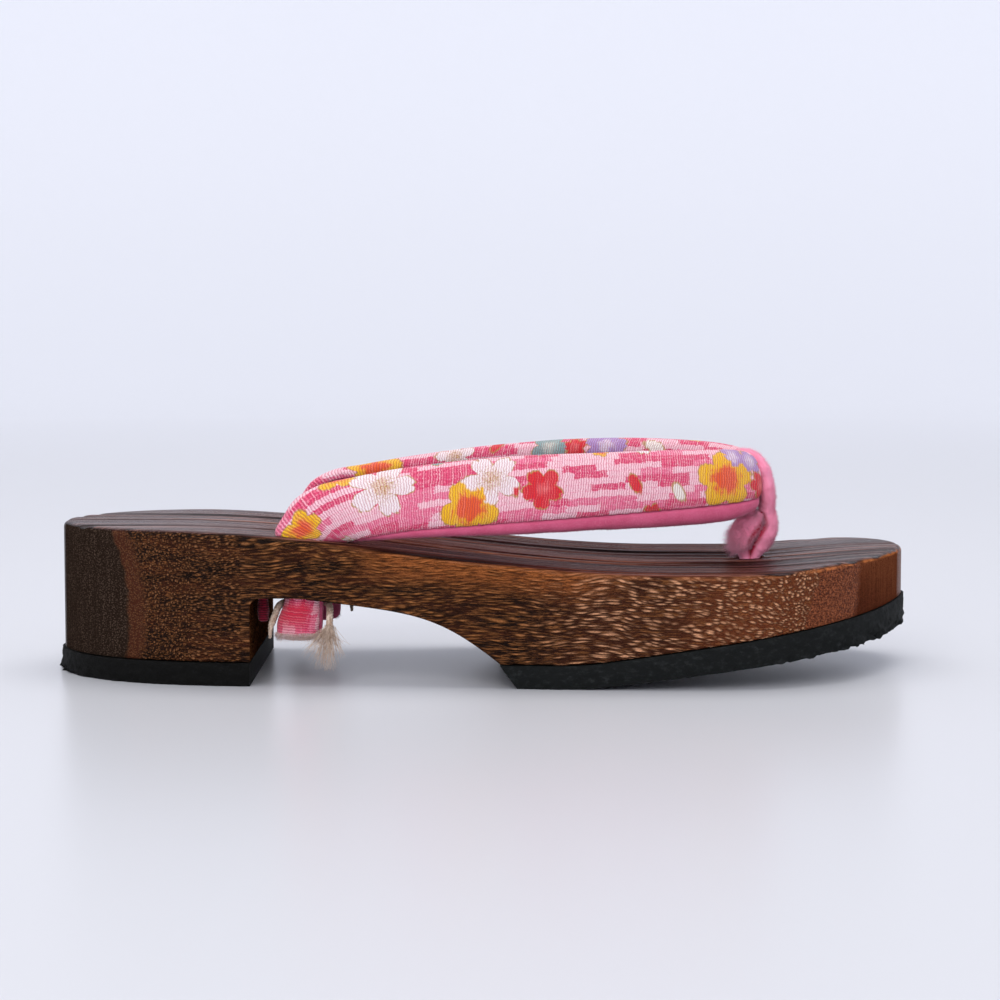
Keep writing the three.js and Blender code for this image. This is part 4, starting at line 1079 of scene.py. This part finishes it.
def creaseShadeOf(grid, side):
    # Painted shade: one where a strand's flank faces the other strand, fading upwards above the strap's lower
    # edge
    middle = grid.mean(axis=1, keepdims=True)
    facing = np.clip(0.25 + side * (grid[..., 0] - middle[..., 0]) / 2.2, 0, 1) ** 2
    return (facing * smoothStep(grid[..., 2], 45.5, 43.5) * smoothStep(grid[..., 2], 30, 33)).ravel()


makeThong(velourMaterial("thongVelour", velour["thong"], creaseShaded=True))


# Hemp ties: twisted cords that end in loose fibres

hemp = dict(wide=1.9, twist=2.6, hang=9.6, fray=15, spread=5.8, fibres=240, fibreWide=0.11, lowest=4.4,
            pale=tone(236, 216, 198), dark=tone(178, 148, 126))


def hempMaterial(name, dark, pale):
    s = Shader(name, Roughness=0.9, Sheen_Weight=0.2, Specular_IOR_Level=0.2)
    colour = s.mix(s.band(s.grain((1.2, 1.2, 0.5), 4, 0.7), 0.35, 0.7), dark, pale)
    return s.finish(colour, s.grain((5, 5, 2), 3), 0.0002, 0.6)


def tubes(paths, radii, columns):
    # Round tubes along many paths at once: paths as tube, step, place and radii as tube, step
    side, other = squareTo(unit(np.gradient(paths, axis=1)))
    angle = np.arange(columns) / columns * 2 * pi
    return (paths[:, :, None] + radii[..., None, None]
            * (side[:, :, None] * np.cos(angle)[:, None] + other[:, :, None] * np.sin(angle)[:, None]))


def makeTie(name, node, holeY, toward, material, seed):
    # Three plies turn round the route of the tie, and loose fibres spread from its frayed end
    outward = np.sign(holeY - shoe["thongLineY"])
    wide, hang = hemp["wide"], hemp["hang"]
    beside = 0.42 * strap["stubWidth"] + strap["clearance"] + wide / 2
    inner = 0.5 * strap["thickness"] + strap["clearance"] + wide / 2
    up = shoe["archHeight"] - wide - strap["clearance"]
    route = np.array([
        (beside + 0.16 * wide, 0.35 * strap["thickness"], 0.69 * hang),
        (beside + 0.21 * wide, 0.21 * strap["thickness"], 0.35 * hang),
        (beside + 0.05 * wide, -0.1 * strap["thickness"], 0.06 * hang),
        (0.62 * beside, -inner, 0), (-0.62 * beside, -inner, 0),
        (-beside - 0.21 * wide, -0.21 * strap["thickness"], 0.08 * hang),
        (-beside - 0.79 * wide, -0.15 * strap["thickness"], 0.35 * hang),
        (-beside - 1.37 * wide, -0.1 * strap["thickness"], 0.67 * hang),
        (-beside - 1.53 * wide, -0.12 * strap["thickness"], hang)])
    route = np.stack([shoe["rearHoleX"] + toward * route[:, 0], holeY + outward * route[:, 1],
                      up - route[:, 2]], -1)
    t = np.linspace(0, 1, 220)
    path = splineAt(route, t)
    side, other = squareTo(unit(np.gradient(path, axis=0)))
    travel = np.cumsum(np.linalg.norm(np.gradient(path, axis=0), axis=1))
    taper = np.interp(t, [0, 0.82, 1], [1, 1, 0.4])
    phase = (2 * pi * travel / hemp["twist"])[None, :] + (np.arange(3) * 2 * pi / 3)[:, None]
    ring = 0.27 * wide * taper
    plies = (path[None] + (ring * np.cos(phase))[..., None] * side[None]
             + (ring * np.sin(phase))[..., None] * other[None])
    plies = tubes(plies, np.broadcast_to(0.26 * wide * taper, (3, len(t))), 10)
    random = np.random.default_rng(seed)
    count = hemp["fibres"]
    steps = np.linspace(0, 1, 14)
    start = path[0] + random.normal(0, 0.28 * wide, (count, 3)) * [1, 1, 0.5] + [0, 0, 0.8]
    fan = random.uniform(-1, 1, count)
    tip = np.stack([toward * (fan - 0.2) * hemp["spread"],
                    outward * random.uniform(-0.1, 0.8, count) * hemp["spread"],
                    -(1 - 0.45 * np.abs(fan)) * hemp["fray"] * random.uniform(0.45, 0.98, count)], -1)
    bow = random.normal(0, 0.8, (count, 3))
    wave = np.sin(steps[None] * random.uniform(4, 10, (count, 1)) + random.uniform(0, 6, (count, 1))) * 0.25
    steps = steps[None, :, None]
    fibres = (start[:, None] + tip[:, None] * steps + bow[:, None] * steps * (1 - steps) * 1.6
              + wave[..., None] * bow[:, None] * 0.5)
    fibres[..., 2] = np.maximum(fibres[..., 2], hemp["lowest"])
    fibres = tubes(fibres, hemp["fibreWide"] / 2 * (1.25 - steps[..., 0]) * np.ones((count, 1)), 4)
    addPiece(name, *capped(list(plies) + list(fibres)), material, "hemp_cord", [node])


hempLook = hempMaterial("hempFibre", hemp["dark"], hemp["pale"])
frayLook = hempMaterial("clothThreads", cloth["rim"], cloth["paleThreadAndHighlight"])
frayedEnds = [clothPoints[1:7, :cloth["outer"]], clothPoints[-7:-1, :cloth["outer"]]]
addFuzz("clothFray", frayedEnds, [1500, 1500], [lambda root: fuzz["fray"]] * 2, frayLook, 9, "printed_cloth",
        (0, 0, -0.9))
makeTie("tieLateral", "tie_cord_lateral", shoe["lateralHoleY"], 1, hempLook, 11)
makeTie("tieMedial", "tie_cord_medial", shoe["medialHoleY"], -1, hempLook, 12)


# Folded tail of the cloth beside the heel block

tail = dict(wide=3.6, broad=5.0, long=7.8, ribPitch=0.65, colour=tone(176, 36, 66), dark=tone(110, 20, 40))


def makeTail():
    # A pleated tab: the radius of its rounded section waves three times round, and swells to the middle
    x = shoe["heelFront"] + 0.8 + tail["wide"] / 2
    y = shoe["lateralHoleY"] + 8
    down = np.linspace(0, 1, 60)[:, None]
    size = np.interp(down, [0, 0.25, 0.6, 0.93, 1], [0.8, 0.86, 1, 0.85, 0.45])
    turn = (np.arange(48) / 48 * 2 * pi)[None, :]
    fold = 1 - 0.10 * (0.5 + 0.5 * np.cos(3 * turn + 2.2 * down)) - 0.03 * (1 + wander(turn * 2, down * 6, 4))
    points = np.stack([x + tail["wide"] / 2 * size * np.cos(turn) * fold,
                       y - tail["broad"] / 2 * size * np.sin(turn) * fold,
                       shoe["archHeight"] - 0.3 - tail["long"] * down + 0 * turn], -1)
    s = Shader("crimsonCloth", Roughness=0.9, Sheen_Weight=0.3, Specular_IOR_Level=0.2)
    rib = s.math("SINE", s.times(s.split(s.place())[2], 2 * pi / tail["ribPitch"]))
    look = s.finish(s.mix(s.band(rib, -1, 1), tail["dark"], tail["colour"]), rib, 0.00015, 0.5)
    piece = addPiece("strapTail", *capped([points]), look, "crimson_cloth", ["strap_tail"])


makeTail()
